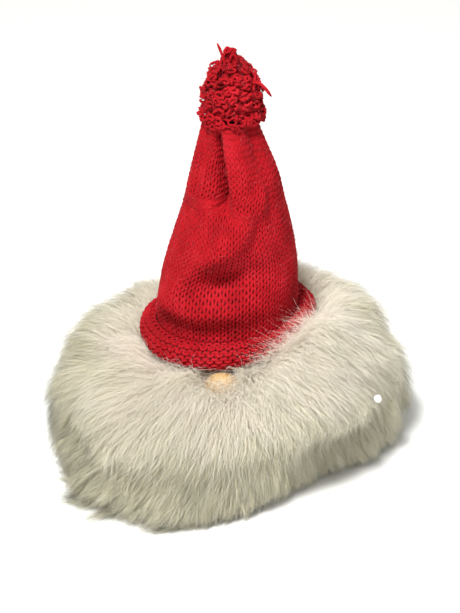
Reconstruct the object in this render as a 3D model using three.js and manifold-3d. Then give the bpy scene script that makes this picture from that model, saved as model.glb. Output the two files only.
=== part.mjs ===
// A tomte, the Nordic farmyard gnome, as a craft figurine: a turned wooden head cone on a plywood foot,
// a padded sheepskin wrapped round it, a wooden bead for a nose and a knitted cap pulled down over the head.
// Millimetres, +Z up, the face towards -Y. The origin is under the middle of the foot, on the surface below.
import * as THREE from "three";
import { mergeVertices } from "three/addons/utils/BufferGeometryUtils.js";
import Module from "manifold-3d";

const wasm = await Module();
wasm.setup();

// ---------- driving dimensions ----------
const GAP = 0.3; // glue line, or running clearance, between neighbouring pieces

const FELT = { thick: 2, inset: 3 }; // inset: how far it stops short of the board's edge
const BOARD = { radius: 55, thick: 4, edge: 0.6 };
const SKIN = { thick: 1.2, hemInner: 40, collar: 0.9 }; // collar: how far the neck stands above its cord
const WADDING = { gap: 0.5, top: 43, bulge: 2 };
const WOOL = { halfWidth: 84, halfDepth: 82, top: 56, lift: 0.6, clear: 0.6 };
const SWEEP = { corner: -34, full: 0.2, toSide: 0.38, toFace: 0.62, shortAt: 39, short: 0.2, shortWidth: 0.5 };
const CONE = { radius: 27, aboveSeat: 7.9, tipRadius: 7.5 }; // aboveSeat: how far the straight part goes up
const NOSE = { radius: 9, x: -2.5, proud: 3.8, boreDepth: 7, room: 4 };
const PEG = { radius: 2.5, intoCone: 10 };
const SCREW = { shank: 2, head: 4.2, headDeep: 2.6, length: 30 };
const PIN = { head: 1.9, shank: 0.35, bite: 9, angle: 59, inset: 6.5, height: 38.5, dip: 0.35 };
const CAP = { wall: 3, clear: 1.6, roll: 5.7, top: 160, gather: 12.2, hang: 48, headroom: 10, seatGap: 1.2 };
const TUFT = { radius: 13, height: 33.2, spire: 4.2 };
const CORD = { neck: 0.9, gather: 0.7, seam: 0.45 }; // radii
const BEARD_HALF_ANGLE = 38; // degrees each side of the face
const TILT = 0.12; // rise of the neck and the cap's brim per millimetre towards +X
const LEAN = 2.7; // how far the cap's middle leans towards +X

// ---------- sizes that follow from them ----------
const FOOT_TOP = FELT.thick + GAP + SKIN.thick + GAP + BOARD.thick;
const FOOT_BOTTOM = FOOT_TOP - BOARD.thick;
const STANDING = FOOT_TOP + GAP; // where the cone and the wadding stand
const SKIN_INSIDE = GAP; // from the padding
const SKIN_OUTSIDE = SKIN_INSIDE + SKIN.thick;
const NECK_RADIUS = CONE.radius + WADDING.gap; // the padding's hole
const NECK_RING = NECK_RADIUS + SKIN_OUTSIDE + 3 * GAP + CORD.neck; // middle of the neck cord
const NECK_HEIGHT = WADDING.top + SKIN_OUTSIDE + GAP + CORD.neck;
const NECK_TOP = NECK_HEIGHT + CORD.neck + SKIN.collar;
const SEAT = NECK_TOP + 2.6; // where the brim sits on the wool
const BRIM_BOTTOM = SEAT + CAP.seatGap;
const ROLL_RADIUS = CONE.radius + CAP.clear + CAP.roll; // middle of the rolled brim
const BRIM_RADIUS = ROLL_RADIUS + CAP.roll;
const WALL_FOOT = BRIM_BOTTOM + 1.9 * CAP.roll;
const CONE_TOP = CAP.top - CAP.hang;
const ROUND = 40; // facets round the pelt and the cap

// ---------- helpers ----------
const smooth = (x, from, to) => THREE.MathUtils.smoothstep(x, from, to);
const lerp = THREE.MathUtils.lerp;
const bell = (x, width) => Math.exp(-((x / width) ** 2));
const degrees = THREE.MathUtils.degToRad;

function solidOf(geometry) {
  const bare = geometry.index ? geometry.toNonIndexed() : geometry.clone();
  bare.deleteAttribute("normal");
  bare.deleteAttribute("uv");
  const merged = mergeVertices(bare, 1e-4);
  const vertProperties = merged.attributes.position.array;
  const make = (triVerts) => new wasm.Manifold(new wasm.Mesh({ numProp: 3, vertProperties, triVerts }));
  const triVerts = new Uint32Array(merged.index.array);
  const made = make(triVerts);
  return made.volume() > 0 ? made : make(triVerts.reverse());
}

function geometryOf(solid) {
  const { numProp, vertProperties, triVerts } = solid.getMesh();
  const corners = new Float32Array(triVerts.length * 3);
  triVerts.forEach((v, i) => corners.set(vertProperties.subarray(v * numProp, v * numProp + 3), i * 3));
  const geometry = new THREE.BufferGeometry();
  geometry.setAttribute("position", new THREE.BufferAttribute(corners, 3));
  geometry.computeVertexNormals();
  return geometry;
}

// A closed outline of [radius, height] turned round the Z axis.
function turned(outline, facets = ROUND) {
  const points = outline.map(([r, z]) => new THREE.Vector2(Math.max(r, 0), z));
  const onAxis = points[0].x === 0 && points.at(-1).x === 0;
  if (!onAxis) points.push(points[0].clone());
  return new THREE.LatheGeometry(points, facets).rotateX(Math.PI / 2);
}

// Moves each corner of a geometry; place(x, y, z) returns the new [x, y, z].
function moved(geometry, place) {
  const at = geometry.attributes.position;
  for (let i = 0; i < at.count; i++) at.setXYZ(i, ...place(at.getX(i), at.getY(i), at.getZ(i)));
  return geometry;
}

const ball = (radius, [x, y, z], across = 20, down = 12) =>
  new THREE.SphereGeometry(radius, across, down).translate(x, y, z);

// A rod from one point to another.
function rod(radius, from, to, sides = 12) {
  const a = new THREE.Vector3(...from);
  const b = new THREE.Vector3(...to);
  const along = b.clone().sub(a).normalize();
  const turn = new THREE.Quaternion().setFromUnitVectors(new THREE.Vector3(0, 1, 0), along);
  return new THREE.CylinderGeometry(radius, radius, a.distanceTo(b), sides)
    .applyQuaternion(turn)
    .translate(...a.add(b).multiplyScalar(0.5).toArray());
}

// A smooth line through a few [radius, height] points.
function eased(points, count) {
  const curve = new THREE.SplineCurve(points.map(([r, z]) => new THREE.Vector2(r, z)));
  return curve.getPoints(count).map((p) => [p.x, p.y]);
}

// A line of [radius, height] moved sideways, away from the axis where it climbs.
function offset(line, by) {
  return line.map(([r, z], i) => {
    const [r0, z0] = line[Math.max(i - 1, 0)];
    const [r1, z1] = line[Math.min(i + 1, line.length - 1)];
    const long = Math.hypot(r1 - r0, z1 - z0);
    return [r + (by * (z1 - z0)) / long, z - (by * (r1 - r0)) / long];
  });
}

const tomte = new THREE.Group();
function piece(name, shape, color, roughness, metalness = 0) {
  const geometry = shape.isBufferGeometry ? shape : geometryOf(shape);
  const mesh = new THREE.Mesh(geometry, new THREE.MeshStandardMaterial({ color, roughness, metalness }));
  mesh.name = name;
  tomte.add(mesh);
}

// ---------- how the soft parts have settled ----------
// The pelt is fuller at +X, so the neck and the brim slope. The slope fades towards foot, tip and rim.
function settled(x, y, z) {
  const inside = 1 - 0.7 * smooth(Math.hypot(x, y), WOOL.halfWidth - 34, WOOL.halfWidth - 2);
  const below = smooth(z, STANDING, WADDING.top - 1);
  const above = 1 - smooth(z, WALL_FOOT + 4, CAP.top - 22);
  return [x, y, z + TILT * x * below * above * inside];
}

// How far the cap's cloth stands out (+) or falls in (-), at an angle from the face and a height.
function fold(angle, z) {
  const share = (z - BRIM_BOTTOM) / (CAP.top - BRIM_BOTTOM);
  const pocketAngle = degrees(-27);
  const pocketWidth = degrees(angle < pocketAngle ? 30 : 14);
  const pocketHeight = smooth(share, 0.52, 0.69) * (1 - smooth(share, 0.86, 0.99));
  const pocket = -6 * bell(angle - pocketAngle, pocketWidth) * pocketHeight;
  const ridgeHeight = 0.42 + 0.23 * angle;
  const ridge = 2.2 * bell(share - ridgeHeight, 0.066) * bell(angle + 0.25, 0.85);
  const valley = -2.6 * bell(share - ridgeHeight + 0.14, 0.066) * bell(angle + 0.15, 0.8);
  const band = 1.4 * bell(share - 0.155, 0.038) * bell(angle + 0.5, 0.5);
  return pocket + ridge + valley + band;
}

function leanAt(z) {
  const back = 1 - 0.75 * smooth(z, CAP.top - 32, CAP.top);
  return LEAN * smooth(z, WALL_FOOT + 8, CAP.top - 40) * back;
}

// The same point on the cap once it leans and folds.
function draped(x, y, z) {
  const r = Math.hypot(x, y);
  if (r < 1e-6) return settled(leanAt(z), 0, z);
  const out = r + fold(Math.atan2(x, -y), z) * smooth(r, 4, 14);
  return settled((x / r) * out + leanAt(z), (y / r) * out, z);
}

// ---------- the foot ----------
function baseFelt() {
  const radius = BOARD.radius - FELT.inset;
  return turned([[0, 0], [radius, 0], [radius, FELT.thick], [0, FELT.thick]]);
}

function screwHole() {
  const clear = SCREW.shank + GAP;
  const sink = SCREW.head + GAP;
  const end = FOOT_BOTTOM + SCREW.length + GAP;
  return turned([
    [0, FOOT_BOTTOM - 1],
    [sink, FOOT_BOTTOM - 1],
    [sink, FOOT_BOTTOM + GAP],
    [clear, FOOT_BOTTOM + GAP + SCREW.headDeep],
    [clear, end],
    [0, end],
  ], 16);
}

function baseBoard() {
  const blank = turned([
    [0, FOOT_BOTTOM],
    [BOARD.radius - BOARD.edge, FOOT_BOTTOM],
    [BOARD.radius, FOOT_BOTTOM + BOARD.edge],
    [BOARD.radius, FOOT_TOP - BOARD.edge],
    [BOARD.radius - BOARD.edge, FOOT_TOP],
    [0, FOOT_TOP],
  ]);
  return solidOf(blank).subtract(solidOf(screwHole()));
}

function coreScrew() {
  const bottom = FOOT_BOTTOM + GAP;
  const end = FOOT_BOTTOM + SCREW.length;
  return turned([
    [0, bottom],
    [SCREW.head, bottom],
    [SCREW.shank, bottom + SCREW.headDeep],
    [SCREW.shank, end - 5],
    [0, end - GAP],
  ], 16);
}

// ---------- the head ----------
// The bead sits in front of the cone, its top level with the underside of the brim.
const NOSE_AT = [NOSE.x, -(CONE.radius + NOSE.proud + NOSE.radius), BRIM_BOTTOM - NOSE.radius];
const PEG_INNER = -(CONE.radius - PEG.intoCone);
const PEG_OUTER = NOSE_AT[1] + NOSE.radius - NOSE.boreDepth;
const pegRod = (grow) =>
  rod(PEG.radius + grow, [NOSE.x, PEG_INNER + grow, NOSE_AT[2]], [NOSE.x, PEG_OUTER - grow, NOSE_AT[2]]);

function headCone() {
  const point = [];
  const steps = 5;
  for (let i = 1; i < steps; i++) {
    const turn = (i / steps) * (Math.PI / 2);
    point.push([CONE.tipRadius * Math.cos(turn), CONE_TOP + CONE.tipRadius * Math.sin(turn)]);
  }
  const blank = turned([
    [0, STANDING],
    [CONE.radius - 1, STANDING],
    [CONE.radius, STANDING + 1],
    [CONE.radius, SEAT + CONE.aboveSeat - 6],
    [CONE.radius - 1.2, SEAT + CONE.aboveSeat],
    [CONE.tipRadius, CONE_TOP],
    ...point,
    [0, CONE_TOP + CONE.tipRadius],
  ]);
  return solidOf(blank).subtract(solidOf(screwHole())).subtract(solidOf(pegRod(GAP)));
}

const noseBead = () => solidOf(ball(NOSE.radius, NOSE_AT)).subtract(solidOf(pegRod(GAP)));

// What the nose and its peg need clear in the soft parts round them.
const noseRoom = () => solidOf(ball(NOSE.radius + 2 * GAP, NOSE_AT, 16, 10)).add(solidOf(pegRod(2 * GAP)));

// Where the wool parts over the nose, so that it shows under the brim.
function noseParting() {
  const [x, y, z] = NOSE_AT;
  return solidOf(ball(NOSE.radius + NOSE.room, [x, y - 7, z + NOSE.radius], 16, 10));
}

// ---------- the padding and the pelt ----------
// A point on the padding's dome: out is its share of the way from the neck to the foot's edge.
const domeAt = (out, up) => [
  lerp(NECK_RADIUS + 2.3, BOARD.radius, out),
  lerp(STANDING + 0.2, WADDING.top, up),
];
const DOME = eased([
  domeAt(1, 0),
  [BOARD.radius + WADDING.bulge, lerp(STANDING, WADDING.top, 0.26)],
  domeAt(0.84, 0.57),
  domeAt(0.52, 0.81),
  domeAt(0.21, 0.94),
  domeAt(0, 1),
], 9);

function bodyWadding() {
  const ring = turned([[NECK_RADIUS, STANDING], ...DOME, [NECK_RADIUS, WADDING.top - GAP]]);
  return solidOf(moved(ring, settled)).subtract(noseRoom());
}

// The pelt's line under and over the foot's edge and up the dome, at a distance from the padding.
function peltLine(by) {
  const mitre = by * Math.tan(Math.PI / 8);
  const edge = BOARD.radius + by;
  const neck = NECK_RADIUS + by + GAP;
  const dome = offset(DOME, by).slice(1);
  return [
    [SKIN.hemInner, FOOT_BOTTOM - by],
    [BOARD.radius - BOARD.edge + mitre, FOOT_BOTTOM - by],
    [edge, FOOT_BOTTOM + BOARD.edge - mitre],
    [edge, STANDING],
    ...dome.filter(([r, z]) => z > STANDING + 1 && r > neck + 1.2 && z < WADDING.top + by),
    [neck + GAP, WADDING.top + by],
    [neck, NECK_TOP],
  ];
}

function skinRing() {
  const outline = [...peltLine(SKIN_INSIDE), ...peltLine(SKIN_OUTSIDE).reverse()];
  return solidOf(moved(turned(outline), settled));
}

// The wool's outside: a low mound, from the ground up over the side and in to the neck.
const MOUND = eased([
  [WOOL.halfWidth - 24, WOOL.lift],
  [WOOL.halfWidth - 10, WOOL.lift],
  [WOOL.halfWidth - 3, WOOL.top * 0.125],
  [WOOL.halfWidth, WOOL.top * 0.36],
  [WOOL.halfWidth - 4, WOOL.top * 0.64],
  [WOOL.halfWidth - 14, WOOL.top - 7],
  [BRIM_RADIUS + 16, WOOL.top],
  [BRIM_RADIUS + 5, WOOL.top - 1.5],
  [BRIM_RADIUS + 0.7, WOOL.top - 4.8],
], 16);

// What the wool leaves free: the foot and the padded pelt, and the neck with the cord round it.
function fleeceCore() {
  const line = peltLine(SKIN_OUTSIDE + WOOL.clear).slice(3);
  const neck = NECK_RING + CORD.neck + 2 * GAP;
  const crest = line.filter(([r]) => r > neck);
  const under = -5;
  const over = WOOL.top + 50;
  return solidOf(moved(turned([
    [0, under],
    [line[0][0], under],
    ...crest,
    [neck, crest.at(-1)[1] + 0.2],
    [neck, over],
    [0, over],
  ]), settled));
}

// The wool is brushed into a full corner at the front and -X, and low down at the front at +X it lies short.
// The corner falls off quickly to the side and slowly towards the face.
function sweep(angle, z) {
  const corner = degrees(SWEEP.corner);
  const full = SWEEP.full * bell(angle - corner, angle < corner ? SWEEP.toSide : SWEEP.toFace);
  const low = 1 - smooth(z, WOOL.top * 0.25, WOOL.top * 0.64);
  return full - SWEEP.short * bell(angle - degrees(SWEEP.shortAt), SWEEP.shortWidth) * low;
}

function fleeceRing() {
  const outline = [[0, WOOL.lift], ...MOUND, [ROLL_RADIUS + 2, SEAT], [0, SEAT]];
  const deep = WOOL.halfDepth / WOOL.halfWidth;
  const swept = (x, y, z) => {
    const far = smooth(Math.hypot(x, y), WOOL.halfWidth - 24, WOOL.halfWidth - 4);
    const swell = 1 + far * sweep(Math.atan2(x, -y), z);
    return settled(x * swell, y * swell * lerp(1, deep, far), z);
  };
  return solidOf(moved(turned(outline), swept)).subtract(fleeceCore());
}

// The front sector that the beard takes, as a wedge, its sides drawn in or let out by a gap.
function wedge(grow) {
  const reach = 2 * WOOL.halfWidth;
  const half = degrees(BEARD_HALF_ANGLE);
  const apex = grow / Math.sin(half);
  const outline = new THREE.Shape();
  outline.moveTo(0, apex);
  outline.lineTo(-reach * Math.tan(half), apex - reach);
  outline.lineTo(reach * Math.tan(half), apex - reach);
  outline.closePath();
  const depth = 2 * WOOL.top;
  return solidOf(new THREE.ExtrudeGeometry(outline, { depth, bevelEnabled: false }).translate(0, 0, -20));
}

// The thread that joins the beard's skin to the body's, up one edge of the beard. Its ends are drawn in
// by trim, a share of its length.
function seam(side, radius, trim) {
  const angle = side * degrees(BEARD_HALF_ANGLE);
  const pelt = peltLine(SKIN_OUTSIDE + GAP + CORD.seam);
  const line = pelt.filter(([, z]) => z > STANDING && z < WADDING.top - 1);
  const whole = new THREE.CatmullRomCurve3(
    line.map(([r, z]) => new THREE.Vector3(r * Math.sin(angle), -r * Math.cos(angle), z)),
  );
  const steps = 10;
  const points = [];
  for (let i = 0; i <= steps; i++) points.push(whole.getPointAt(lerp(trim, 1 - trim, i / steps)));
  const extrudePath = new THREE.CatmullRomCurve3(points);
  const section = new THREE.Shape();
  section.absarc(0, 0, radius, 0, 2 * Math.PI);
  return moved(new THREE.ExtrudeGeometry(section, { steps, curveSegments: 3, extrudePath }), settled);
}

// A cord tied in a ring.
function ring(radius, thick, height, place) {
  const outline = [];
  const sides = 6;
  for (let i = 0; i < sides; i++) {
    const turn = (i / sides) * 2 * Math.PI;
    outline.push([radius + thick * Math.cos(turn), height + thick * Math.sin(turn)]);
  }
  return moved(turned(outline, 32), place);
}

// ---------- the pearl-headed pin ----------
const PIN_WAY = new THREE.Vector3(-Math.sin(degrees(PIN.angle)), Math.cos(degrees(PIN.angle)), 0);
const PIN_REACH = (WOOL.halfWidth - PIN.inset) * (1 + sweep(degrees(PIN.angle), PIN.height));
const PIN_AT = PIN_WAY.clone().multiplyScalar(-PIN_REACH).setZ(PIN.height);
const PIN_LENGTH = PIN_REACH - BOARD.radius + PIN.bite;
PIN_WAY.setZ(-PIN.dip).normalize();
const alongPin = (distance) => PIN_AT.clone().addScaledVector(PIN_WAY, distance).toArray();
const pinShank = (grow) =>
  rod(PIN.shank + grow, alongPin(PIN.head + GAP - grow), alongPin(PIN.head + PIN_LENGTH + grow), 8);
const pinRoom = () => solidOf(pinShank(GAP)).add(solidOf(ball(PIN.head + GAP, alongPin(0), 12, 8)));

// ---------- the cap ----------
// A point on the outside of the cap's wall: taper is its share of the way in to the gather.
const wallAt = (taper, up) => [
  lerp(CONE.radius + CAP.clear + CAP.wall, CAP.gather, taper),
  lerp(WALL_FOOT, CAP.top - CAP.wall / 2, up),
];
const WALL = eased([
  wallAt(0, 0),
  wallAt(0.01, 0.1),
  wallAt(0.09, 0.26),
  wallAt(0.27, 0.42),
  wallAt(0.47, 0.57),
  wallAt(0.63, 0.72),
  wallAt(0.92, 0.92),
  wallAt(1, 1),
], 14);

function rolledBrim() {
  const turns = [];
  const from = degrees(-135);
  const to = degrees(130);
  const steps = 8;
  for (let i = 0; i <= steps; i++) {
    const turn = lerp(from, to, i / steps);
    turns.push([
      ROLL_RADIUS + CAP.roll * Math.cos(turn),
      BRIM_BOTTOM + CAP.roll + CAP.roll * Math.sin(turn),
    ]);
  }
  return turns;
}

function knittedHat() {
  const inside = offset(WALL, -CAP.wall).filter(([, z]) => z < CAP.top - 2 * CAP.wall);
  const ceiling = CAP.top - CAP.wall - 1;
  const outline = [
    [0, ceiling],
    [CAP.gather / 2, ceiling],
    ...inside.reverse(),
    [CONE.radius + CAP.clear, WALL_FOOT - 2],
    [CONE.radius + CAP.clear, BRIM_BOTTOM + 2.5],
    ...rolledBrim(),
    ...WALL,
    [CAP.gather - 2.6, CAP.top],
    [0, CAP.top],
  ];
  return moved(turned(outline), draped);
}

function crownWadding() {
  const from = CONE_TOP + CONE.tipRadius + CAP.headroom;
  const to = CAP.top - 3 * CAP.wall;
  const side = offset(WALL, -CAP.wall - 4 * GAP).filter(([, z]) => z > from + 4 && z < to);
  const [topRadius, topHeight] = side.at(-1);
  const outline = [
    [0, side[0][1] - 4],
    [side[0][0] - 3, side[0][1] - 3],
    ...side,
    [topRadius - 1.5, topHeight + 1.5],
    [0, topHeight + 2.2],
  ];
  return moved(turned(outline, 32), draped);
}

function crownTuft() {
  const base = CAP.top + GAP;
  const tip = base + TUFT.height;
  const bun = eased([
    [TUFT.radius * 0.6, base],
    [TUFT.radius - 1.5, base + 2],
    [TUFT.radius + 0.5, base + 7],
    [TUFT.radius - 0.5, base + 13],
    [TUFT.radius * 0.7, base + 18],
    [TUFT.radius * 0.3, base + 20],
  ], 8);
  const lumpy = (x, y, z) => {
    const angle = Math.atan2(x, -y);
    const out = 1 + 0.09 * Math.sin(5 * angle + z * 0.5);
    return [leanAt(CAP.top) + x * out, y * out * 0.9, z];
  };
  const mound = moved(turned([[0, base], ...bun, [0, base + 20.5]], 24), lumpy);
  const spire = new THREE.ConeGeometry(TUFT.spire, TUFT.height - 12, 10)
    .rotateX(Math.PI / 2)
    .translate(0, 0, (tip + base + 12) / 2);
  moved(spire, (x, y, z) => [x - 1 - 3 * smooth(z, base + 20, tip), y - 1, z]);
  return solidOf(mound).add(solidOf(spire));
}

// ---------- the pieces ----------
const RED = "#b3121f";
const CREAM = "#e2dcc4";
const FIBRE = "#efece2";
const HIDE = "#d9c6a4";
const BIRCH = "#dcb983";
const STEEL = "#8f9195";

piece("base_felt", baseFelt(), "#8d8a84", 0.95);
piece("base_board", baseBoard(), BIRCH, 0.7);
piece("core_screw", coreScrew(), STEEL, 0.35, 1);
piece("head_cone", headCone(), BIRCH, 0.65);
piece("nose_peg", pegRod(0), BIRCH, 0.7);
piece("nose_bead", noseBead(), BIRCH, 0.5);

const pin = pinRoom();
piece("body_wadding", bodyWadding().subtract(pin), FIBRE, 1);

const skin = skinRing().subtract(noseRoom()).subtract(pin);
piece("body_skin", skin.subtract(wedge(0)), HIDE, 0.8);
piece("beard_skin", skin.intersect(wedge(-GAP)), HIDE, 0.8);

const channels = [-1, 1].map((side) => solidOf(seam(side, CORD.seam + GAP, 0)));
const fleece = channels
  .reduce((wool, channel) => wool.subtract(channel), fleeceRing())
  .subtract(noseRoom())
  .subtract(noseParting())
  .subtract(pin);
piece("body_fleece", fleece.subtract(wedge(0)), CREAM, 1);
piece("beard_fleece", fleece.intersect(wedge(-2 * GAP)), CREAM, 1);
piece("seam_thread_left", seam(-1, CORD.seam, 0.04), HIDE, 0.9);
piece("seam_thread_right", seam(1, CORD.seam, 0.04), HIDE, 0.9);

const neckCord = solidOf(ring(NECK_RING, CORD.neck, NECK_HEIGHT, settled));
piece("neck_cord", neckCord.subtract(noseRoom()), HIDE, 0.9);
piece("pin_head", ball(PIN.head, alongPin(0), 14, 8), "#f4f3ee", 0.15);
piece("pin_shank", pinShank(0), STEEL, 0.3, 1);

piece("knitted_hat", knittedHat(), RED, 0.95);
piece("crown_wadding", crownWadding(), FIBRE, 1);
const gatherRadius = CAP.gather + GAP + CORD.gather + 0.2;
const gatherThread = ring(gatherRadius, CORD.gather, CAP.top - 1.4, draped);
piece("gather_thread", gatherThread, RED, 0.9);
piece("crown_tuft", crownTuft(), RED, 0.95);

export default tomte;
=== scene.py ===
"""A tomte, the Nordic farmyard gnome: a knitted cap over a wooden head, in a long-haired sheepskin.

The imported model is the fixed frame. This script makes the soft and fine pieces round it: the wool lock by
lock, the cap stitch by stitch, the tuft loop by loop, and the hides, padding, felt and threads. Sizes are
millimetres until a mesh is kept, and the face looks towards -Y.
"""

import math

import bmesh
import bpy
import numpy as np
from mathutils import Matrix, Vector


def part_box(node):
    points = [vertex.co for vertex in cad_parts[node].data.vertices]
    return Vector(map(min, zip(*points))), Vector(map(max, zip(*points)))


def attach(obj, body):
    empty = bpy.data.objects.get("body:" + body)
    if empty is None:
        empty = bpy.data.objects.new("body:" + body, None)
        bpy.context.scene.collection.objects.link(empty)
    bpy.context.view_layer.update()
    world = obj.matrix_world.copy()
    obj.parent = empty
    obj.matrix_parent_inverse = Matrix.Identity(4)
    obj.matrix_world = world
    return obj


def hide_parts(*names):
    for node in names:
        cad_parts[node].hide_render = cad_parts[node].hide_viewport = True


bl_info = {
    "name": "Tomte figurine",
    "version": (1, 0, 0),
    "blender": (4, 5, 0),
    "location": "3D View > Sidebar > Tomte",
    "description": "Makes the wool, knitting, wood and threads of a tomte round its packed model",
    "category": "Add Mesh",
}

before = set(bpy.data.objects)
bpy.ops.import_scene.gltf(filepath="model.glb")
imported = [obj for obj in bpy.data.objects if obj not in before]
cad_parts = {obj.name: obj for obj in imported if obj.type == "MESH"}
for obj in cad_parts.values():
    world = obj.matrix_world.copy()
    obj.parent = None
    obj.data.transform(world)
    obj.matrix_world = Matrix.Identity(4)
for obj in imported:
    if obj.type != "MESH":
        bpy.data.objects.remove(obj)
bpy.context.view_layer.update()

MM = 0.001
TURN = 2 * math.pi


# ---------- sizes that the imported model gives, in millimetres ----------
def span(node_name):
    """A CAD node's lowest and highest corners."""
    low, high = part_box(node_name)
    return np.array(low) / MM, np.array(high) / MM


FELT_LOW, FELT_HIGH = span("base_felt")
BOARD_LOW, BOARD_HIGH = span("base_board")
CONE_LOW, CONE_HIGH = span("head_cone")
NOSE_LOW, NOSE_HIGH = span("nose_bead")
PEG_LOW, PEG_HIGH = span("nose_peg")
PEARL_LOW, PEARL_HIGH = span("pin_head")
TUFT_LOW, TUFT_HIGH = span("crown_tuft")

GAP = 0.3  # what touching pieces keep between them
BOARD_RADIUS = BOARD_HIGH[0]
FOOT_BOTTOM = BOARD_LOW[2]
STANDING = CONE_LOW[2]
CONE_RADIUS = CONE_HIGH[0]
NOSE_AT = (NOSE_LOW + NOSE_HIGH) / 2
NOSE_RADIUS = (NOSE_HIGH[0] - NOSE_LOW[0]) / 2
PEG_RADIUS = (PEG_HIGH[2] - PEG_LOW[2]) / 2
PEARL_AT = (PEARL_LOW + PEARL_HIGH) / 2
PEARL_RADIUS = (PEARL_HIGH[2] - PEARL_LOW[2]) / 2
CAP_TOP = TUFT_LOW[2] - GAP
SPIRE_TIP = TUFT_HIGH[2]

WADDING_TOP = 43.0
SKIN_THICK = 1.2
NECK_RADIUS = CONE_RADIUS + 0.5
NECK_CORD = 0.9
NECK_RING = NECK_RADIUS + GAP + SKIN_THICK + 3 * GAP + NECK_CORD
NECK_HEIGHT = WADDING_TOP + GAP + SKIN_THICK + GAP + NECK_CORD
NECK_TOP = NECK_HEIGHT + 2 * NECK_CORD
BRIM_BOTTOM = NECK_TOP + 3.8
ROLL = 5.7  # radius of the rolled brim's section
ROLL_RADIUS = CONE_RADIUS + 1.6 + ROLL
ROLL_HEIGHT = BRIM_BOTTOM + ROLL
WALL_FOOT = BRIM_BOTTOM + 1.9 * ROLL
WALL_RADIUS = CONE_RADIUS + 1.6 + 3
GATHER = 12.2
WOOL_RADIUS = 84.0
WOOL_DEEP = 82.0 / 84.0
BEARD_HALF_ANGLE = math.radians(38)


# ---------- small mathematics ----------
def smooth(x, low, high):
    t = np.clip((np.asarray(x, float) - low) / (high - low), 0, 1)
    return t * t * (3 - 2 * t)


def bell(x, width):
    return np.exp(-((x / width) ** 2))


def lerp(a, b, share):
    return a + (b - a) * share


def eased(points, count):
    """A smooth line of count points through a few points."""
    at = np.array(points, float)
    at = np.vstack([2 * at[0] - at[1], at, 2 * at[-1] - at[-2]])
    place = np.linspace(0, len(points) - 1, count)
    first = np.minimum(place.astype(int), len(points) - 2)
    t = (place - first)[:, None]
    a, b, c, d = (at[first + i] for i in range(4))
    return 0.5 * (2 * b + (c - a) * t + (2 * a - 5 * b + 4 * c - d) * t**2 + (3 * b - a - 3 * c + d) * t**3)


def run_of(line):
    """How far along a line each of its points is."""
    steps = np.linalg.norm(np.diff(line, axis=0), axis=1)
    return np.concatenate([[0], np.cumsum(steps)])


# ---------- how the soft parts have settled ----------
def settled(x, y, z):
    """The neck, the brim and the wool slope up towards +X."""
    inside = 1 - 0.7 * smooth(np.hypot(x, y), WOOL_RADIUS - 34, WOOL_RADIUS - 2)
    below = smooth(z, STANDING, WADDING_TOP - 1)
    above = 1 - smooth(z, WALL_FOOT + 4, CAP_TOP - 22)
    return np.stack([x, y, z + 0.12 * x * below * above * inside], -1)


def share_at(z):
    """How high a point is on the cap, from 0 at the brim to 1 at the gather."""
    return (z - BRIM_BOTTOM) / (CAP_TOP - BRIM_BOTTOM)


def pocket_at(z):
    """How open the cap's deep pocket is at a height, from 0 to 1."""
    return smooth(share_at(z), 0.59, 0.69) * (1 - 0.9 * smooth(share_at(z), 0.86, 0.97))


def from_pocket(angle, z):
    """The angle from the pocket's middle, which slants down to the right."""
    return angle - math.radians(-18) - 0.8 * (0.78 - share_at(z))


def fold(angle, z):
    """How far the cap's cloth stands out (+) or falls in (-): a deep pocket high up, a slanting ridge with a
    hollow under it, and a soft band over the brim."""
    share, beyond = share_at(z), from_pocket(angle, z)
    wide = np.where(beyond < 0, math.radians(15), math.radians(12))
    pocket = -17 * np.exp(-((beyond / wide) ** 4))
    beside = 1.6 * bell(beyond - 0.58, 0.26) - 3 * bell(beyond + 0.4, 0.25)
    ridge = 5.4 * bell(share - 0.53 - 0.25 * angle, 0.08) * bell(angle + 0.3, 0.9)
    hollow = -8 * bell(share - 0.36, 0.075) * bell(angle + 0.1, 0.65)
    band = 3.2 * bell(share - 0.235, 0.045) * bell(angle + 0.45, 0.6)
    foot = -2.2 * bell(share - 0.14, 0.05) * bell(angle + 0.2, 0.9)
    crease = -1.8 * bell(angle - 0.4, 0.15) * smooth(share, 0.42, 0.56) * (1 - smooth(share, 0.7, 0.86))
    return (pocket + beside) * pocket_at(z) + ridge + hollow + band + foot + crease


# Each pleat's angle from the face in degrees, and its share of the full depth.
PLEATS = ((46, 0.3), (112, 1.1), (140, 1.1), (168, 1.0), (-165, 1.1), (-138, 1.1), (-112, 0.9), (-62, 0.25))


def pleats(angle, z, radius):
    """The cloth that the gather takes up lies in pleats, deeper towards the top."""
    depth = 8 * smooth(z, 88, 146)
    fallen = np.zeros_like(angle)
    for degrees, share in PLEATS:
        away = (angle - math.radians(degrees) + math.pi) % TURN - math.pi
        fallen = fallen + share * bell(away, 3.2 / radius)
    return -depth * fallen


def lean_at(z):
    """How far the cap leans towards +X at a height."""
    back = 1 - 0.75 * smooth(z, CAP_TOP - 32, CAP_TOP)
    return 2.7 * smooth(z, WALL_FOOT + 8, CAP_TOP - 40) * back


def draped(radius, angle, z):
    """A point of the cap, once it leans and folds. The pocket's lip hangs over it from the right."""
    out = np.maximum(radius + fold(angle, z) * smooth(radius, 4, 14), np.minimum(radius, 4.0))
    lip = 0.8 * bell(from_pocket(angle, z) - 0.3, 0.16) * pocket_at(z) * smooth(radius, 4, 14)
    x = out * np.sin(angle) - lip * np.cos(angle)
    y = -out * np.cos(angle) - lip * np.sin(angle)
    return settled(x + lean_at(z), y, z)


def sweep(angle, z):
    """The wool is brushed into a full corner at the front and -X, and lies short at the front and +X."""
    corner = math.radians(-34)
    full = 0.2 * bell(angle - corner, np.where(angle < corner, 0.38, 0.62))
    short = 0.2 * bell(angle - math.radians(39), 0.5) * (1 - smooth(z, 14, 36))
    return full - short


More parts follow.
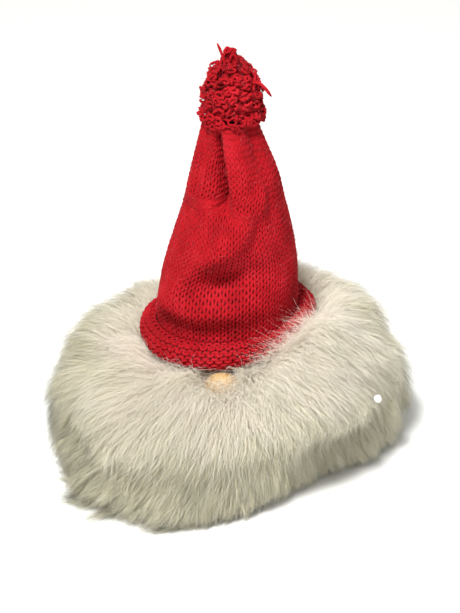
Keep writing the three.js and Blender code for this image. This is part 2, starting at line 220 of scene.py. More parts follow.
# ---------- making meshes ----------
def linear(hex_colour):
    """An sRGB hex colour as a linear one."""
    channels = [int(hex_colour[i : i + 2], 16) / 255 for i in (1, 3, 5)]
    return tuple(c / 12.92 if c <= 0.04045 else ((c + 0.055) / 1.055) ** 2.4 for c in channels) + (1.0,)


def show(name, mesh, material, body, replaces=()):
    """Keeps a finished mesh, in metres, as a piece that rides on a body."""
    mesh.name = name
    mesh.materials.clear()
    mesh.materials.append(material)
    mesh.shade_smooth()
    piece = bpy.data.objects.new(name, mesh)
    bpy.context.scene.collection.objects.link(piece)
    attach(piece, body)
    if replaces:
        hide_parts(*replaces)
    return piece


def mesh_of(bm, scale=MM):
    """The mesh of a bmesh in millimetres, its faces turned outwards."""
    bmesh.ops.remove_doubles(bm, verts=bm.verts, dist=1e-5)
    bmesh.ops.recalc_face_normals(bm, faces=bm.faces)
    bmesh.ops.scale(bm, vec=(scale,) * 3, verts=bm.verts)
    mesh = bpy.data.meshes.new("made")
    bm.to_mesh(mesh)
    bm.free()
    return mesh


def turned(outline, facets, angle=TURN, start=0.0):
    """A bmesh: an outline of (radius, height) turned round Z. A closed outline repeats its first point."""
    bm = bmesh.new()
    verts = [bm.verts.new((r * math.sin(start), -r * math.cos(start), z)) for r, z in outline]
    edges = [bm.edges.new(pair) for pair in zip(verts, verts[1:])]
    full = abs(angle - TURN) < 1e-6
    bmesh.ops.spin(bm, geom=verts + edges, cent=(0, 0, 0), axis=(0, 0, 1), angle=angle, steps=facets,
                   use_merge=full, use_duplicate=False)
    bmesh.ops.remove_doubles(bm, verts=bm.verts, dist=1e-5)
    return bm


def moved(bm, place):
    """Moves each vertex of a bmesh: place takes and gives an array of points."""
    at = np.array([v.co for v in bm.verts])
    for vert, co in zip(bm.verts, place(at)):
        vert.co = co
    return bm


def tubes(lines, radii, sides, closed=False):
    """A mesh of round strands: each line of points is a bevelled spline. A strand whose end radius is 0 comes
    to a point. The UV map runs along each strand in u and round it in v."""
    section = bpy.data.curves.new("section", "CURVE")
    section.dimensions = "2D"
    rim = section.splines.new("POLY")
    rim.points.add(sides - 1)
    for i, point in enumerate(rim.points):
        point.co = (math.cos(TURN * i / sides), math.sin(TURN * i / sides), 0, 1)
    rim.use_cyclic_u = True
    section_holder = bpy.data.objects.new("section", section)
    curve = bpy.data.curves.new("strands", "CURVE")
    curve.dimensions = "3D"
    curve.bevel_mode = "OBJECT"
    curve.bevel_object = section_holder
    for line, radius in zip(lines, radii):
        spline = curve.splines.new("POLY")
        spline.points.add(len(line) - 1)
        at = np.ones((len(line), 4), np.float32)
        at[:, :3] = np.asarray(line) * MM
        spline.points.foreach_set("co", at.ravel())
        thick = np.asarray(radius, np.float32) * np.ones(len(line), np.float32) * MM
        spline.points.foreach_set("radius", thick)
        spline.use_cyclic_u = closed
    holder = bpy.data.objects.new("strands", curve)
    bpy.context.scene.collection.objects.link(holder)
    bpy.context.view_layer.update()
    depsgraph = bpy.context.evaluated_depsgraph_get()
    mesh = bpy.data.meshes.new_from_object(holder.evaluated_get(depsgraph))
    for gone in (holder, section_holder):
        data = gone.data
        bpy.data.objects.remove(gone)
        bpy.data.curves.remove(data)
    mesh.uv_layers[0].name = "OFBake"
    return mesh


def read_uv(mesh):
    uv = np.zeros(len(mesh.loops) * 2, np.float32)
    mesh.uv_layers["OFBake"].data.foreach_get("uv", uv)
    return uv.reshape(-1, 2)


def write_uv(mesh, uv):
    mesh.uv_layers["OFBake"].data.foreach_set("uv", np.ascontiguousarray(uv, np.float32).ravel())


def welded(mesh):
    """Closes the pointed or capped ends of strands."""
    bm = bmesh.new()
    bm.from_mesh(mesh)
    open_edges = [e for e in bm.edges if e.is_boundary]
    tips = {v for e in open_edges for v in e.verts}
    bmesh.ops.remove_doubles(bm, verts=list(tips), dist=1e-7)
    open_edges = [e for e in bm.edges if e.is_valid and e.is_boundary]
    if open_edges:
        bmesh.ops.holes_fill(bm, edges=open_edges, sides=12)
    bm.to_mesh(mesh)
    bm.free()
    return mesh


def strands(lines, radii, tones, sides=3):
    """A mesh of hairs that all have as many points. u holds each hair's tone and v runs from root to tip."""
    mesh = tubes(lines, radii, sides)
    corners = (lines.shape[1] - 1) * sides * 4
    uv = read_uv(mesh)
    uv = np.stack([np.repeat(np.clip(tones, 0.004, 0.996), corners), 0.01 + 0.98 * uv[:, 0]], -1)
    write_uv(mesh, uv)
    return welded(mesh)


def joined(meshes):
    """One mesh of several."""
    bm = bmesh.new()
    for mesh in meshes:
        bm.from_mesh(mesh)
        bpy.data.meshes.remove(mesh)
    mesh = bpy.data.meshes.new("made")
    bm.to_mesh(mesh)
    bm.free()
    return mesh


# ---------- materials ----------
def node(tree, kind, settings=(), links=()):
    """Adds one node. settings are its properties and constant inputs, and links the outputs that feed its
    inputs."""
    made = tree.nodes.new(kind)
    for key, value in dict(settings).items():
        if key == "stops":
            ramp = made.color_ramp.elements
            while len(ramp) < len(value):
                ramp.new(0.5)
            for element, (position, colour) in zip(ramp, value):
                element.position = position
                element.color = colour
        elif isinstance(key, int) or key in made.inputs:
            made.inputs[key].default_value = value
        else:
            setattr(made, key, value)
    for key, source in dict(links).items():
        tree.links.new(source, made.inputs[key])
    return made


def material(name, colour, roughness, **shader):
    """A material with a Principled shader, and its node tree and shader."""
    made = bpy.data.materials.new(name)
    made.use_nodes = True
    made.diffuse_color = colour
    tree = made.node_tree
    tree.nodes.clear()
    settings = {"Base Color": colour, "Roughness": roughness, **shader}
    principled = node(tree, "ShaderNodeBsdfPrincipled", settings)
    node(tree, "ShaderNodeOutputMaterial", (), {"Surface": principled.outputs["BSDF"]})
    return made, tree, principled


def grained(name, base, stops, grain, relief, roughness, noise):
    """A matt material whose colour and relief follow one even grain: its size in millimetres, and the
    relief's strength and depth. base is the flat colour that stands for it."""
    made, tree, principled = material(name, linear(base), roughness)
    place = node(tree, "ShaderNodeTexCoord")
    grains = node(tree, "ShaderNodeTexNoise", {"Scale": 1 / (grain * MM), **noise},
                  {"Vector": place.outputs["Object"]})
    colour = node(tree, "ShaderNodeValToRGB", {"stops": [(at, linear(shade)) for at, shade in stops]},
                  {"Fac": grains.outputs["Fac"]})
    bump = node(tree, "ShaderNodeBump", {"Strength": relief[0], "Distance": relief[1] * MM},
                {"Height": grains.outputs["Fac"]})
    tree.links.new(colour.outputs["Color"], principled.inputs["Base Color"])
    tree.links.new(bump.outputs["Normal"], principled.inputs["Normal"])
    return made

def wool_material(colours):
    """Long sheep's wool, washed and brushed: soft gloss along each hair, cream with paler hairs. The tone in
    u picks the colour; its khaki and grey hairs are painted shade and its pink ones a painted reflection of
    the red cap. Roots are darker than tips, painted shade deep in the coat."""
    made, tree, principled = material("sheep_wool", linear(colours.wool), 0.62, **{
        "Specular IOR Level": 0.25, "Sheen Weight": 0.25, "Sheen Roughness": 0.5,
    })
    uv = node(tree, "ShaderNodeUVMap", {"uv_map": "OFBake"})
    apart = node(tree, "ShaderNodeSeparateXYZ", (), {"Vector": uv.outputs["UV"]})
    tone = node(tree, "ShaderNodeValToRGB", {"stops": [
        (0.0, linear("#3a342c")),
        (0.06, linear("#5c5447")),
        (0.12, linear(colours.wool_grey_and_shade)),
        (0.3, linear(colours.wool_khaki_shade)),
        (0.52, linear(colours.wool)),
        (0.76, linear(colours.wool_pink_reflection)),
        (1.0, linear(colours.wool_white)),
    ]}, {"Fac": apart.outputs["X"]})
    # Painted shade: the root end of each hair is darker, as if deep in the coat.
    length = node(tree, "ShaderNodeValToRGB", {"stops": [
        (0.0, linear("#e6dfcc")),
        (0.35, linear("#f8f5ee")),
        (0.7, linear("#ffffff")),
    ]}, {"Fac": apart.outputs["Y"]})
    mixed = node(tree, "ShaderNodeMix", {"data_type": "RGBA", "blend_type": "MULTIPLY", "Factor": 1.0},
                 {6: tone.outputs["Color"], 7: length.outputs["Color"]})
    tree.links.new(mixed.outputs[2], principled.inputs["Base Color"])
    return made


def undercoat_shade_material(colours):
    """The dense undercoat of the fleece: matt, crimped at about 2 mm, and khaki all over, darker than the
    hairs: painted shade for the deep coat that shows between the locks.
    """
    return grained("wool_undercoat_shade", colours.wool_khaki_shade, ((0.3, "#c4bb98"), (0.65, "#e2dbc2")), 2,
                   (0.8, 1.0), 0.95, {"Detail": 4.0, "Roughness": 0.7})

def yarn_material(name, colours):
    """Dyed wool yarn: matt and fuzzy, with a grain of fibres 0.9 mm across, coarser than real ones so that it
    shows, and patches of paler and deeper dye about 14 mm across."""
    made, tree, principled = material(name, linear(colours.cap), 0.85, **{
        "Specular IOR Level": 0.15, "Sheen Weight": 0.08, "Sheen Roughness": 0.4,
        "Sheen Tint": linear("#ff6a62"),
    })
    place = node(tree, "ShaderNodeTexCoord")
    fibre = node(tree, "ShaderNodeTexNoise", {"Scale": 1 / (0.9 * MM), "Detail": 3.0, "Roughness": 0.65},
                 {"Vector": place.outputs["Object"]})
    patch = node(tree, "ShaderNodeTexNoise", {"Scale": 1 / (14 * MM), "Detail": 2.0},
                 {"Vector": place.outputs["Object"]})
    both = node(tree, "ShaderNodeMath", {"operation": "MULTIPLY_ADD", 1: 0.7},
                {0: fibre.outputs["Fac"], 2: patch.outputs["Fac"]})
    spread = node(tree, "ShaderNodeMapRange", {"From Min": 0.35, "From Max": 1.35},
                  {"Value": both.outputs[0]})
    colour = node(tree, "ShaderNodeValToRGB", {"stops": [
        (0.0, linear(colours.cap_dark_dye_and_shade)), (0.5, linear(colours.cap)), (1.0, linear(colours.cap_light)),
    ]}, {"Fac": spread.outputs["Result"]})
    tree.links.new(colour.outputs["Color"], principled.inputs["Base Color"])
    bump = node(tree, "ShaderNodeBump", {"Strength": 0.7, "Distance": 0.35 * MM},
                {"Height": fibre.outputs["Fac"]})
    tree.links.new(bump.outputs["Normal"], principled.inputs["Normal"])
    return made


def fibre_material(name, colours):
    """Single fibres that have worked loose from the yarn: finer than the yarn, so paler against the light.
    The tone in u picks the colour."""
    made, tree, principled = material(name, linear(colours.cap_light), 0.8)
    uv = node(tree, "ShaderNodeUVMap", {"uv_map": "OFBake"})
    apart = node(tree, "ShaderNodeSeparateXYZ", (), {"Vector": uv.outputs["UV"]})
    shade = node(tree, "ShaderNodeValToRGB", {"stops": [
        (0.0, linear(colours.cap_dark_dye_and_shade)), (0.6, linear(colours.cap_light)), (1.0, linear("#d4565c")),
    ]}, {"Fac": apart.outputs["X"]})
    tree.links.new(shade.outputs["Color"], principled.inputs["Base Color"])
    return made


def lining_shade_material(colours):
    """What shows between the stitches: the cloth's back, dark red all over as painted shade in the gaps
    between the yarns.
    """
    return grained("knit_back_shade", colours.cap_back_shade, ((0.3, colours.cap_back_shade), (0.75, colours.cap_dark_dye_and_shade)), 1.2,
                   (0.5, 0.4), 0.95, {"Detail": 2.0})

def wood_material(name, light, dark, along, ring=1.6, roughness=0.55):
    """Turned or sawn birch, oiled: pale, with close rings every 1 to 2 mm and short dark flecks. along is the
    axis of the grain."""
    made, tree, principled = material(name, linear(light), roughness, **{"Specular IOR Level": 0.4})
    place = node(tree, "ShaderNodeTexCoord")
    stretch = [1.0, 1.0, 1.0]
    stretch["XYZ".index(along)] = 0.12
    lined = node(tree, "ShaderNodeMapping", {"Scale": stretch, "Location": (0.013, 0.007, 0.004)},
                 {"Vector": place.outputs["Object"]})
    rings = node(tree, "ShaderNodeTexWave", {
        "wave_type": "RINGS", "rings_direction": along, "Scale": 1 / (ring * 6.3 * MM), "Distortion": 2.5,
        "Detail": 2.0, "Detail Scale": 0.6,
    }, {"Vector": lined.outputs["Vector"]})
    fleck = node(tree, "ShaderNodeTexNoise", {"Scale": 1 / (0.7 * MM), "Detail": 3.0},
                 {"Vector": lined.outputs["Vector"]})
    mixed = node(tree, "ShaderNodeMath", {"operation": "MULTIPLY_ADD", 1: 0.45},
                 {0: rings.outputs["Fac"], 2: fleck.outputs["Fac"]})
    colour = node(tree, "ShaderNodeValToRGB", {"stops": [
        (0.35, linear(dark)), (0.7, linear(light)),
    ]}, {"Fac": mixed.outputs[0]})
    tree.links.new(colour.outputs["Color"], principled.inputs["Base Color"])
    bump = node(tree, "ShaderNodeBump", {"Strength": 0.25, "Distance": 0.1 * MM},
                {"Height": fleck.outputs["Fac"]})
    tree.links.new(bump.outputs["Normal"], principled.inputs["Normal"])
    return made


def spotted_material(name, dark, light, grain, relief, roughness):
    """A matt fibrous material with an even grain, for wadding, hide, felt and linen."""
    return grained(name, light, ((0.3, dark), (0.7, light)), grain, relief, roughness,
                   {"Detail": 5.0, "Roughness": 0.65})

def steel_material():
    """Drawn and zinc-plated steel: fine lines along the wire, slightly dulled."""
    made, tree, principled = material("plated_steel", linear("#a7a9ad"), 0.32, Metallic=1.0)
    place = node(tree, "ShaderNodeTexCoord")
    drawn = node(tree, "ShaderNodeTexNoise", {"Scale": 1 / (0.5 * MM), "Detail": 3.0},
                 {"Vector": place.outputs["Object"]})
    dull = node(tree, "ShaderNodeMapRange", {"To Min": 0.25, "To Max": 0.5}, {"Value": drawn.outputs["Fac"]})
    tree.links.new(dull.outputs["Result"], principled.inputs["Roughness"])
    bump = node(tree, "ShaderNodeBump", {"Strength": 0.15, "Distance": 0.05 * MM},
                {"Height": drawn.outputs["Fac"]})
    tree.links.new(bump.outputs["Normal"], principled.inputs["Normal"])
    return made


def pearl_material():
    """An imitation pearl: lacquered, white with a faint cool bloom."""
    made, tree, principled = material("pearl_lacquer", linear("#f6f6f1"), 0.16, **{
        "Coat Weight": 0.6, "Coat Roughness": 0.08,
    })
    place = node(tree, "ShaderNodeTexCoord")
    bloom = node(tree, "ShaderNodeTexNoise", {"Scale": 1 / (2.5 * MM), "Detail": 1.0},
                 {"Vector": place.outputs["Object"]})
    colour = node(tree, "ShaderNodeValToRGB", {"stops": [(0.3, linear("#dfe3e6")), (0.6, linear("#fbfaf5"))]},
                  {"Fac": bloom.outputs["Fac"]})
    tree.links.new(colour.outputs["Color"], principled.inputs["Base Color"])
    return made


# ---------- settings ----------
class TomteColours(bpy.types.PropertyGroup):
    """The dyes and natural colours, and the tints that stand for painted shade and a painted reflection, as
    sRGB hex values.
    """

    cap: bpy.props.StringProperty(name="Cap", description="Yarn colour", default="#a20c18")
    cap_light: bpy.props.StringProperty(name="Cap, light", description="Paler fibres", default="#c02430")
    # Deeper dye in the yarn, and also the paler part of the painted shade on the cloth's back.
    cap_dark_dye_and_shade: bpy.props.StringProperty(name="Cap, dark", description="Deeper dye", default="#6c060e")
    # Painted shade: the cloth's back is dark red all over, for the shade between the stitches.
    cap_back_shade: bpy.props.StringProperty(name="Cap, back", description="Knitting's back", default="#5a0810")
    wool: bpy.props.StringProperty(name="Wool", description="Most of the wool", default="#f5f0df")
    wool_white: bpy.props.StringProperty(name="Wool, white", description="Palest hairs", default="#fdfaf0")
    # Painted reflection: a pink tint from the red cap, for hairs by the brim.
    wool_pink_reflection: bpy.props.StringProperty(name="Wool, warm", description="Hairs by the brim", default="#f8e9dd")
    # Khaki, and painted shade: for hairs low on the coat and for the undercoat.
    wool_khaki_shade: bpy.props.StringProperty(name="Wool, khaki", description="Low hairs", default="#dad4b4")
    # Grey, and painted shade: for hairs at the far edges of the coat.
    wool_grey_and_shade: bpy.props.StringProperty(name="Wool, grey", description="Hairs at the edge", default="#a2a495")
    birch: bpy.props.StringProperty(name="Birch", description="Head, foot and nose", default="#e3c08a")
    birch_dark: bpy.props.StringProperty(name="Birch, rings", description="Late wood", default="#c2935a")


class TomteWool(bpy.types.PropertyGroup):
    """Sizes of the sheepskin's wool, in millimetres."""

    fluff: bpy.props.FloatProperty(name="Fluff", description="Single hairs to a degree", default=172)
    locks: bpy.props.FloatProperty(name="Locks", description="Locks to a degree round the body", default=4.6)
    hairs: bpy.props.IntProperty(name="Hairs", description="Hairs in each lock", default=22, min=3)
    floor_locks: bpy.props.IntProperty(name="Floor locks", description="Locks on the floor", default=118)
    thick: bpy.props.FloatProperty(name="Hair", description="Radius of a hair in millimetres", default=0.115)
    length: bpy.props.FloatProperty(name="Length", description="Of a lock, in millimetres", default=40.0)
    guard: bpy.props.IntProperty(name="Guard hairs", description="Long single hairs", default=3600, min=0)


class TomteKnit(bpy.types.PropertyGroup):
    """Gauge of the knitting."""

    wales: bpy.props.IntProperty(name="Wales", description="Stitches round the cap", default=60, min=12)
    row: bpy.props.FloatProperty(name="Row", description="Height of a row in millimetres", default=2.65)
    yarn: bpy.props.FloatProperty(name="Yarn", description="Radius of the yarn in millimetres", default=0.68)
    fuzz: bpy.props.IntProperty(name="Fuzz", description="Loose fibres on the cap", default=4200, min=0)
    loops: bpy.props.IntProperty(name="Loops", description="Loops of yarn in the tuft", default=270, min=10)


# ---------- the wool ----------
NECK_LINE = [(31.5, 48), (36, 50.5), (41, 53.5), (47, 56.5), (56, 56.5), (67, 51), (75, 39)]
TUCKED = eased([*NECK_LINE, (78.5, 25), (79, 12), (76.5, 4.5), (72, 1.5)], 80)
FLARED = eased([*NECK_LINE, (78.5, 25), (79, 13), (78.5, 5.5), (77.5, 1.6)], 80)
WOOL_RUN = run_of(TUCKED)
WOOL_LENGTH = WOOL_RUN[-1]
TUCKED_SLOPE = np.gradient(TUCKED, WOOL_RUN, axis=0)
FLARED_SLOPE = np.gradient(FLARED, WOOL_RUN, axis=0)
WOOL_FLOOR = 0.4  # the lowest that a hair lies
WOOL_FRONT = -99.0  # past this, hairs are bent back


def flare_at(angle):
    """How far the lowest locks splay out on the floor, from 0 to 1, rather than curl in under the body."""
    front = bell(angle - math.radians(-30), math.radians(40))
    behind = 0.45 * smooth(abs(angle), math.radians(95), math.radians(130))
    return np.clip(front + behind + 0.12, 0, 1)


def tier(angle, along):
    """The upper wool lies over the lower at the front, with a step where it ends, in millimetres."""
    left = 1.5 * bell(angle - math.radians(-58), math.radians(20))
    middle = 0.6 * bell(angle + 0.35, math.radians(30))
    right = 0.7 * bell(angle - math.radians(35), math.radians(30))
    edge = along + 3 * np.sin(6 * angle) + 2 * np.sin(13 * angle + 1)
    return (left + middle + right) * (2.4 * bell(edge - 50, 12) - 4.4 * bell(edge - 70, 7))


def wool_at(angle, along, out):
    """A point near the wool's outside: along runs from the neck down to the floor, out is how far off it."""
    flare = flare_at(angle) * smooth(along, 55, 75)

    def between(tucked, flared):
        return np.stack([
            lerp(np.interp(along, WOOL_RUN, tucked[:, i]), np.interp(along, WOOL_RUN, flared[:, i]), flare)
            for i in (0, 1)
        ], -1)

    position, slope = between(TUCKED, FLARED), between(TUCKED_SLOPE, FLARED_SLOPE)
    slope /= np.linalg.norm(slope, axis=-1, keepdims=True)
    beyond = np.maximum(along - WOOL_LENGTH, 0) * lerp(-0.3, 1.0, flare_at(angle))
    radius = position[..., 0] - slope[..., 1] * out + beyond
    height = position[..., 1] + slope[..., 0] * out
    rise = 9 * bell(angle - math.radians(52), math.radians(24)) * bell(along - 19, 9)
    notch = 6.5 * bell(angle - math.radians(-3), math.radians(11)) * bell(along - 20, 12)
    far = smooth(position[..., 0], WOOL_RADIUS - 24, WOOL_RADIUS - 4)
    swell = 1 + far * sweep(angle, position[..., 1])
    x = radius * np.sin(angle) * swell
    y = -radius * np.cos(angle) * swell * lerp(1, WOOL_DEEP, far)
    return settled(x, y, height + rise - notch)


def lumps(angle, along):
    """The uneven surface of brushed wool, in millimetres, about 25 mm from crest to crest."""
    return (1.2 * np.sin(5 * angle + along / 11 + 0.4) + 1.0 * np.sin(9 * angle - along / 8 + 2.1)
            + 0.8 * np.sin(14 * angle + along / 6 + 4.0) + 0.5 * np.sin(23 * angle - along / 5))


def mottle(angle, along):
    """Paler and darker patches in the wool, from -1 to 1, about 15 mm across."""
    return (np.sin(7 * angle + along / 9 + 1.2) * np.sin(along / 7 - 3 * angle)
            + 0.6 * np.sin(17 * angle - along / 6 + 0.5)) / 1.6


def wool_lines(rng, roots, angle, length, points=5, hairs=1, spread=3.2, gathered=0.0, lift=0.0, splay=0.0,
               drift=0.0, wave=0.8, stray=0.1, shortest=0.7):
    """Hairs in locks, as an array (locks * hairs, points, 3). Each hair starts under the surface, comes up to
    it and ends off it by its splay. Those of one lock draw together by the share gathered."""
    count = len(roots) * hairs

    def each(value):
        return np.repeat(np.broadcast_to(value, len(roots)), hairs)[:, None]

    across = rng.normal(0, spread, count)[:, None]
    down = rng.normal(0, spread, count)[:, None]
    t = np.linspace(0, 1, points)[None, :]
    kept = 1 - each(gathered) * smooth(t, 0.1, 1.0)
    long = each(length) * rng.uniform(shortest, 1.08, count)[:, None]
    phase = each(rng.uniform(0, TURN, len(roots))) + rng.normal(0, 0.7, count)[:, None]
    curl = each(wave) * np.sin(TURN * 1.2 * t + phase) * t
    along = each(roots) + down * kept + long * t**1.1
    radius = np.interp(along, WOOL_RUN, TUCKED[:, 0])
    away = each(drift) + rng.normal(0, stray, count)[:, None]
    turn = each(angle) + (across * kept + curl + away * long * t**1.3) / radius
    stand = np.minimum(each(splay) + rng.normal(0, 1.0, count)[:, None], 9) * t**2.2
    surface = each(lift) + lumps(turn, along) + tier(turn, along) + rng.normal(0, 0.8, count)[:, None]
    bow = each(wave) * 0.5 * np.cos(TURN * 1.2 * t + phase) * t
    out = lerp(-8.0, surface, 1 - (1 - t) ** 1.8) + stand + bow
    line = wool_at(turn, along, out)
    line[..., 1] -= 0.4 * np.minimum(line[..., 1] - WOOL_FRONT, 0)
    line[..., 2] = np.maximum(line[..., 2], WOOL_FLOOR + rng.uniform(0, 1.2, count)[:, None])
    return line


def taper(count, points, thick, rng):
    """Radii along hairs, from a hidden root to a fine tip."""
    t = np.linspace(0, 1, points)[None, :]
    body = (1 - t**2.2) * smooth(t, -0.1, 0.12)
    body[:, 0] = 0
    body[:, -1] = 0
    return thick * rng.uniform(0.65, 1.3, count)[:, None] * body


def fibre_radii(count):
    """The radii of short loose fibres, four points each."""
    return np.tile(0.055 * np.array([0, 1.0, 0.8, 0]), (count, 1))

def off_nose(points, gap):
    """Pushes points out of the nose bead, to a gap in millimetres from it."""
    away = points - NOSE_AT
    far = np.linalg.norm(away, axis=-1, keepdims=True)
    return NOSE_AT + away * np.maximum((NOSE_RADIUS + gap) / np.maximum(far, 1), 1)

def clear_of_nose(lines):
    """Pushes hairs down and aside so that the nose's top stays in sight."""
    away = lines - (NOSE_AT + np.array([0, -3, 6]))
    far = np.linalg.norm(away * np.array([0.8, 0.8, 1.2]), axis=-1, keepdims=True)
    need = NOSE_RADIUS + 1.5
    push = np.clip(need / np.maximum(far, 1) - 1, 0, 2)
    return lines + away * push * np.array([1, 0.3, 1])


# Each sector of the coat: its name, from and to in degrees from the face, and its share of the full density.
SECTORS = (
    ("beard_wool_left", -38, -12, 1.0),
    ("beard_wool_middle", -12, 12, 1.0),
    ("beard_wool_right", 12, 38, 1.0),
    ("body_wool_front_left", -62, -38, 1.0),
    ("body_wool_left", -90, -62, 1.0),
    ("body_wool_front_right", 38, 64, 1.0),
    ("body_wool_right", 64, 95, 0.9),
    ("body_wool_back_left", -180, -90, 0.55),
    ("body_wool_back_right", 95, 180, 0.55),
)


class TOMTE_OT_wool(bpy.types.Operator):
    """Makes the sheepskin's wool, lock by lock, in sectors of the body and the beard"""

    bl_idname = "tomte.wool"
    bl_label = "Wool"

    def execute(self, context):
        wool, colours = context.scene.tomte_wool, context.scene.tomte_colours
        rng = np.random.default_rng(11)
        finish = wool_material(colours)
        for name, start, end, dense in SECTORS:
            parts = self.fluff(start, end, dense, wool, rng), self.locks(start, end, dense, wool, rng)
            meshes = [strands(*part) for part in parts]
            stands_for = "beard_fleece" if name.startswith("beard") else "body_fleece"
            show(name, joined(meshes), finish, "body", [stands_for])
        show("floor_locks", strands(*self.floor_locks(wool, rng)), finish, "body")
        show("guard_hairs", strands(*self.guard_hairs(wool, rng)), finish, "body")
        show("stray_hairs", strands(*self.stray_hairs(wool, rng)), finish, "body")
        return {"FINISHED"}

    def roots(self, rng, count, low_share):
        """Where hairs root: evenly by area, and denser low down."""
        table = np.linspace(1, WOOL_LENGTH - 8, 400)
        weight = np.interp(table, WOOL_RUN, TUCKED[:, 0]) * (1 + low_share * smooth(table, 30, 60))
        return np.interp(rng.uniform(0, 1, count), np.cumsum(weight) / weight.sum(), table)

    def comb(self, angle, roots):
        """Which way the wool is brushed round the body, as a slope: to -X on the left, to +X on the right."""
        low = smooth(roots, 30, 65)
        left = bell(angle - math.radians(-40), math.radians(45))
        right = bell(angle - math.radians(50), math.radians(35))
        return 0.3 * right - 0.5 * left * (0.35 + 0.65 * low)

    def tone(self, angle, along, rng, count):
        """0 is dark, 0.12 grey, 0.3 khaki, 0.52 cream, 0.76 pink, 1 white. Khaki low down and grey at the
        back edges are painted shade; pink by the brim is a painted reflection of the red cap.
        """
        # Painted shade: hairs low on the coat, where it faces down, are darker and khaki.
        low = smooth(along, 44, 78)
        # Painted shade: hairs at the far sides of the coat, back left and back right, go grey.
        rim = smooth(along, 26, 44) * np.maximum(bell(angle + 1.9, 0.85), 0.7 * bell(angle - 2.0, 0.7))
        # Painted reflection: hairs by the brim at the front left go pink, as if lit by the red cap.
        red_reflection = 0.16 * bell(along - 9, 12) * bell(angle + 0.9, 0.7)
        tone = 0.54 + red_reflection - 0.2 * low - 0.26 * rim + 0.07 * mottle(angle, along)
        return np.clip(tone + rng.normal(0, 0.075, count), 0.1, 1)

    def fluff(self, start, end, dense, wool, rng):
        """The body of the coat: single hairs, brushed but not in locks."""
        count = int((end - start) * wool.fluff * dense)
        roots = self.roots(rng, count, 0.3)
        angle = rng.uniform(math.radians(start), math.radians(end), count)
        length = np.minimum(rng.uniform(13, 27, count), WOOL_LENGTH - rng.uniform(0, 5, count) - roots)
        length = np.maximum(length, 7)
        low = smooth(roots, 20, 60)
        lines = wool_lines(rng, roots, angle, length, points=4, spread=0.5, lift=rng.normal(-1.2, 1.0, count),
                           splay=rng.gamma(1.6, 0.9 + 0.7 * low), drift=self.comb(angle, roots), wave=0.4,
                           stray=0.3)
        lines = off_brim(clear_of_nose(lines))
        tones = self.tone(angle, roots + 0.7 * length, rng, count)
        return lines, taper(count, 4, wool.thick, rng), tones

    def locks(self, start, end, dense, wool, rng):
        """Hairs drawn together at their tips, which stand off the coat. They are longer low down."""
        count = int((end - start) * wool.locks * dense)
        hairs = wool.hairs
        roots = self.roots(rng, count, 1.2)
        angle = rng.uniform(math.radians(start), math.radians(end), count)
        low = smooth(roots, 25, 62)
        side = np.maximum(bell(angle + 1.4, 0.8), 0.8 * bell(angle - 1.6, 0.7))
        length = wool.length * (0.5 + 0.3 * low) * rng.uniform(0.75, 1.25, count)
        length = np.maximum(np.minimum(length, WOOL_LENGTH + rng.uniform(-8, 3, count) - roots), 9)
        splay = rng.gamma(2.2, 0.7, count) * (0.5 + 1.0 * low + 2.6 * side * smooth(roots, 8, 30))
        high = 1 - smooth(roots, 20, 45)
        loose = np.repeat(high, hairs)
        lines = wool_lines(rng, roots, angle, length, points=5, hairs=hairs, spread=1.9 + 1.6 * loose,
                           gathered=np.clip(0.1 + 0.6 * low + rng.normal(0, 0.15, count), 0, 0.9),
                           lift=rng.normal(-0.6, 0.8, count), splay=splay,
                           drift=self.comb(angle, roots) + rng.normal(0, 0.2, count) * (1 + high),
                           wave=rng.uniform(0.1, 0.8, count), stray=0.06 + 0.12 * loose)
        lines = off_brim(clear_of_nose(lines))
        total = count * hairs
        tones = self.tone(np.repeat(angle, hairs), np.repeat(roots + 0.7 * length, hairs), rng, total)
        return lines, taper(total, 5, wool.thick, rng), tones

    def floor_locks(self, wool, rng):
        """Long pointed locks that lie out on the floor round the lower edge."""
        count = wool.floor_locks
        hairs = 46
        front, behind = 15, 31
        tufts = front + behind
        place = np.radians(np.concatenate([np.linspace(-80, 22, front), np.linspace(32, 268, behind)]))
        place = (place + rng.normal(0, 0.035, tufts) + math.pi) % TURN - math.pi
        furthest = 22 * bell(place - math.radians(-38), math.radians(32)) * rng.uniform(0.45, 1.0, tufts)
        share = np.repeat([0.68 / front, 0.32 / behind], [front, behind])
        tuft = rng.choice(tufts, count, p=share)
        angle = place[tuft] + rng.normal(0, 0.022, count)
        roots = rng.uniform(WOOL_LENGTH - 27, WOOL_LENGTH - 13, count)
        reach = (furthest[tuft] + 1.2) * rng.uniform(0.35, 1.0, count)
        lines = wool_lines(rng, roots, angle, WOOL_LENGTH + reach - roots, points=6, hairs=hairs, spread=2.0,
                           gathered=rng.uniform(0.72, 0.95, count), lift=rng.normal(-0.4, 0.6, count),
                           splay=rng.uniform(0, 2.2, count),
                           drift=self.comb(angle, roots) + rng.normal(0, 0.12, count),
                           wave=rng.uniform(0.2, 1.0, count), stray=0.04, shortest=0.84)
        total = count * hairs
        # Painted shade: the floor locks, lowest on the coat, are khaki to grey.
        tones = 0.25 + 0.1 * np.repeat(rng.normal(0, 1, count), hairs) + rng.normal(0, 0.08, total)
        return lines, taper(total, 6, wool.thick * 1.25, rng), np.clip(tones, 0.1, 0.7)

    def guard_hairs(self, wool, rng):
        """Long single hairs over the coat, a few of them dark."""
        count = wool.guard
        roots = rng.uniform(6, WOOL_LENGTH - 12, count)
        angle = rng.uniform(-math.pi, math.pi, count)
        length = np.minimum(rng.uniform(18, 44, count), WOOL_LENGTH - roots + 4)
        lines = wool_lines(rng, roots, angle, length, points=6, spread=2, lift=rng.uniform(0, 2, count),
                           splay=rng.gamma(2.0, 1.3, count), drift=self.comb(angle, roots), wave=1.6,
                           stray=0.3)
        lines = off_brim(clear_of_nose(lines))
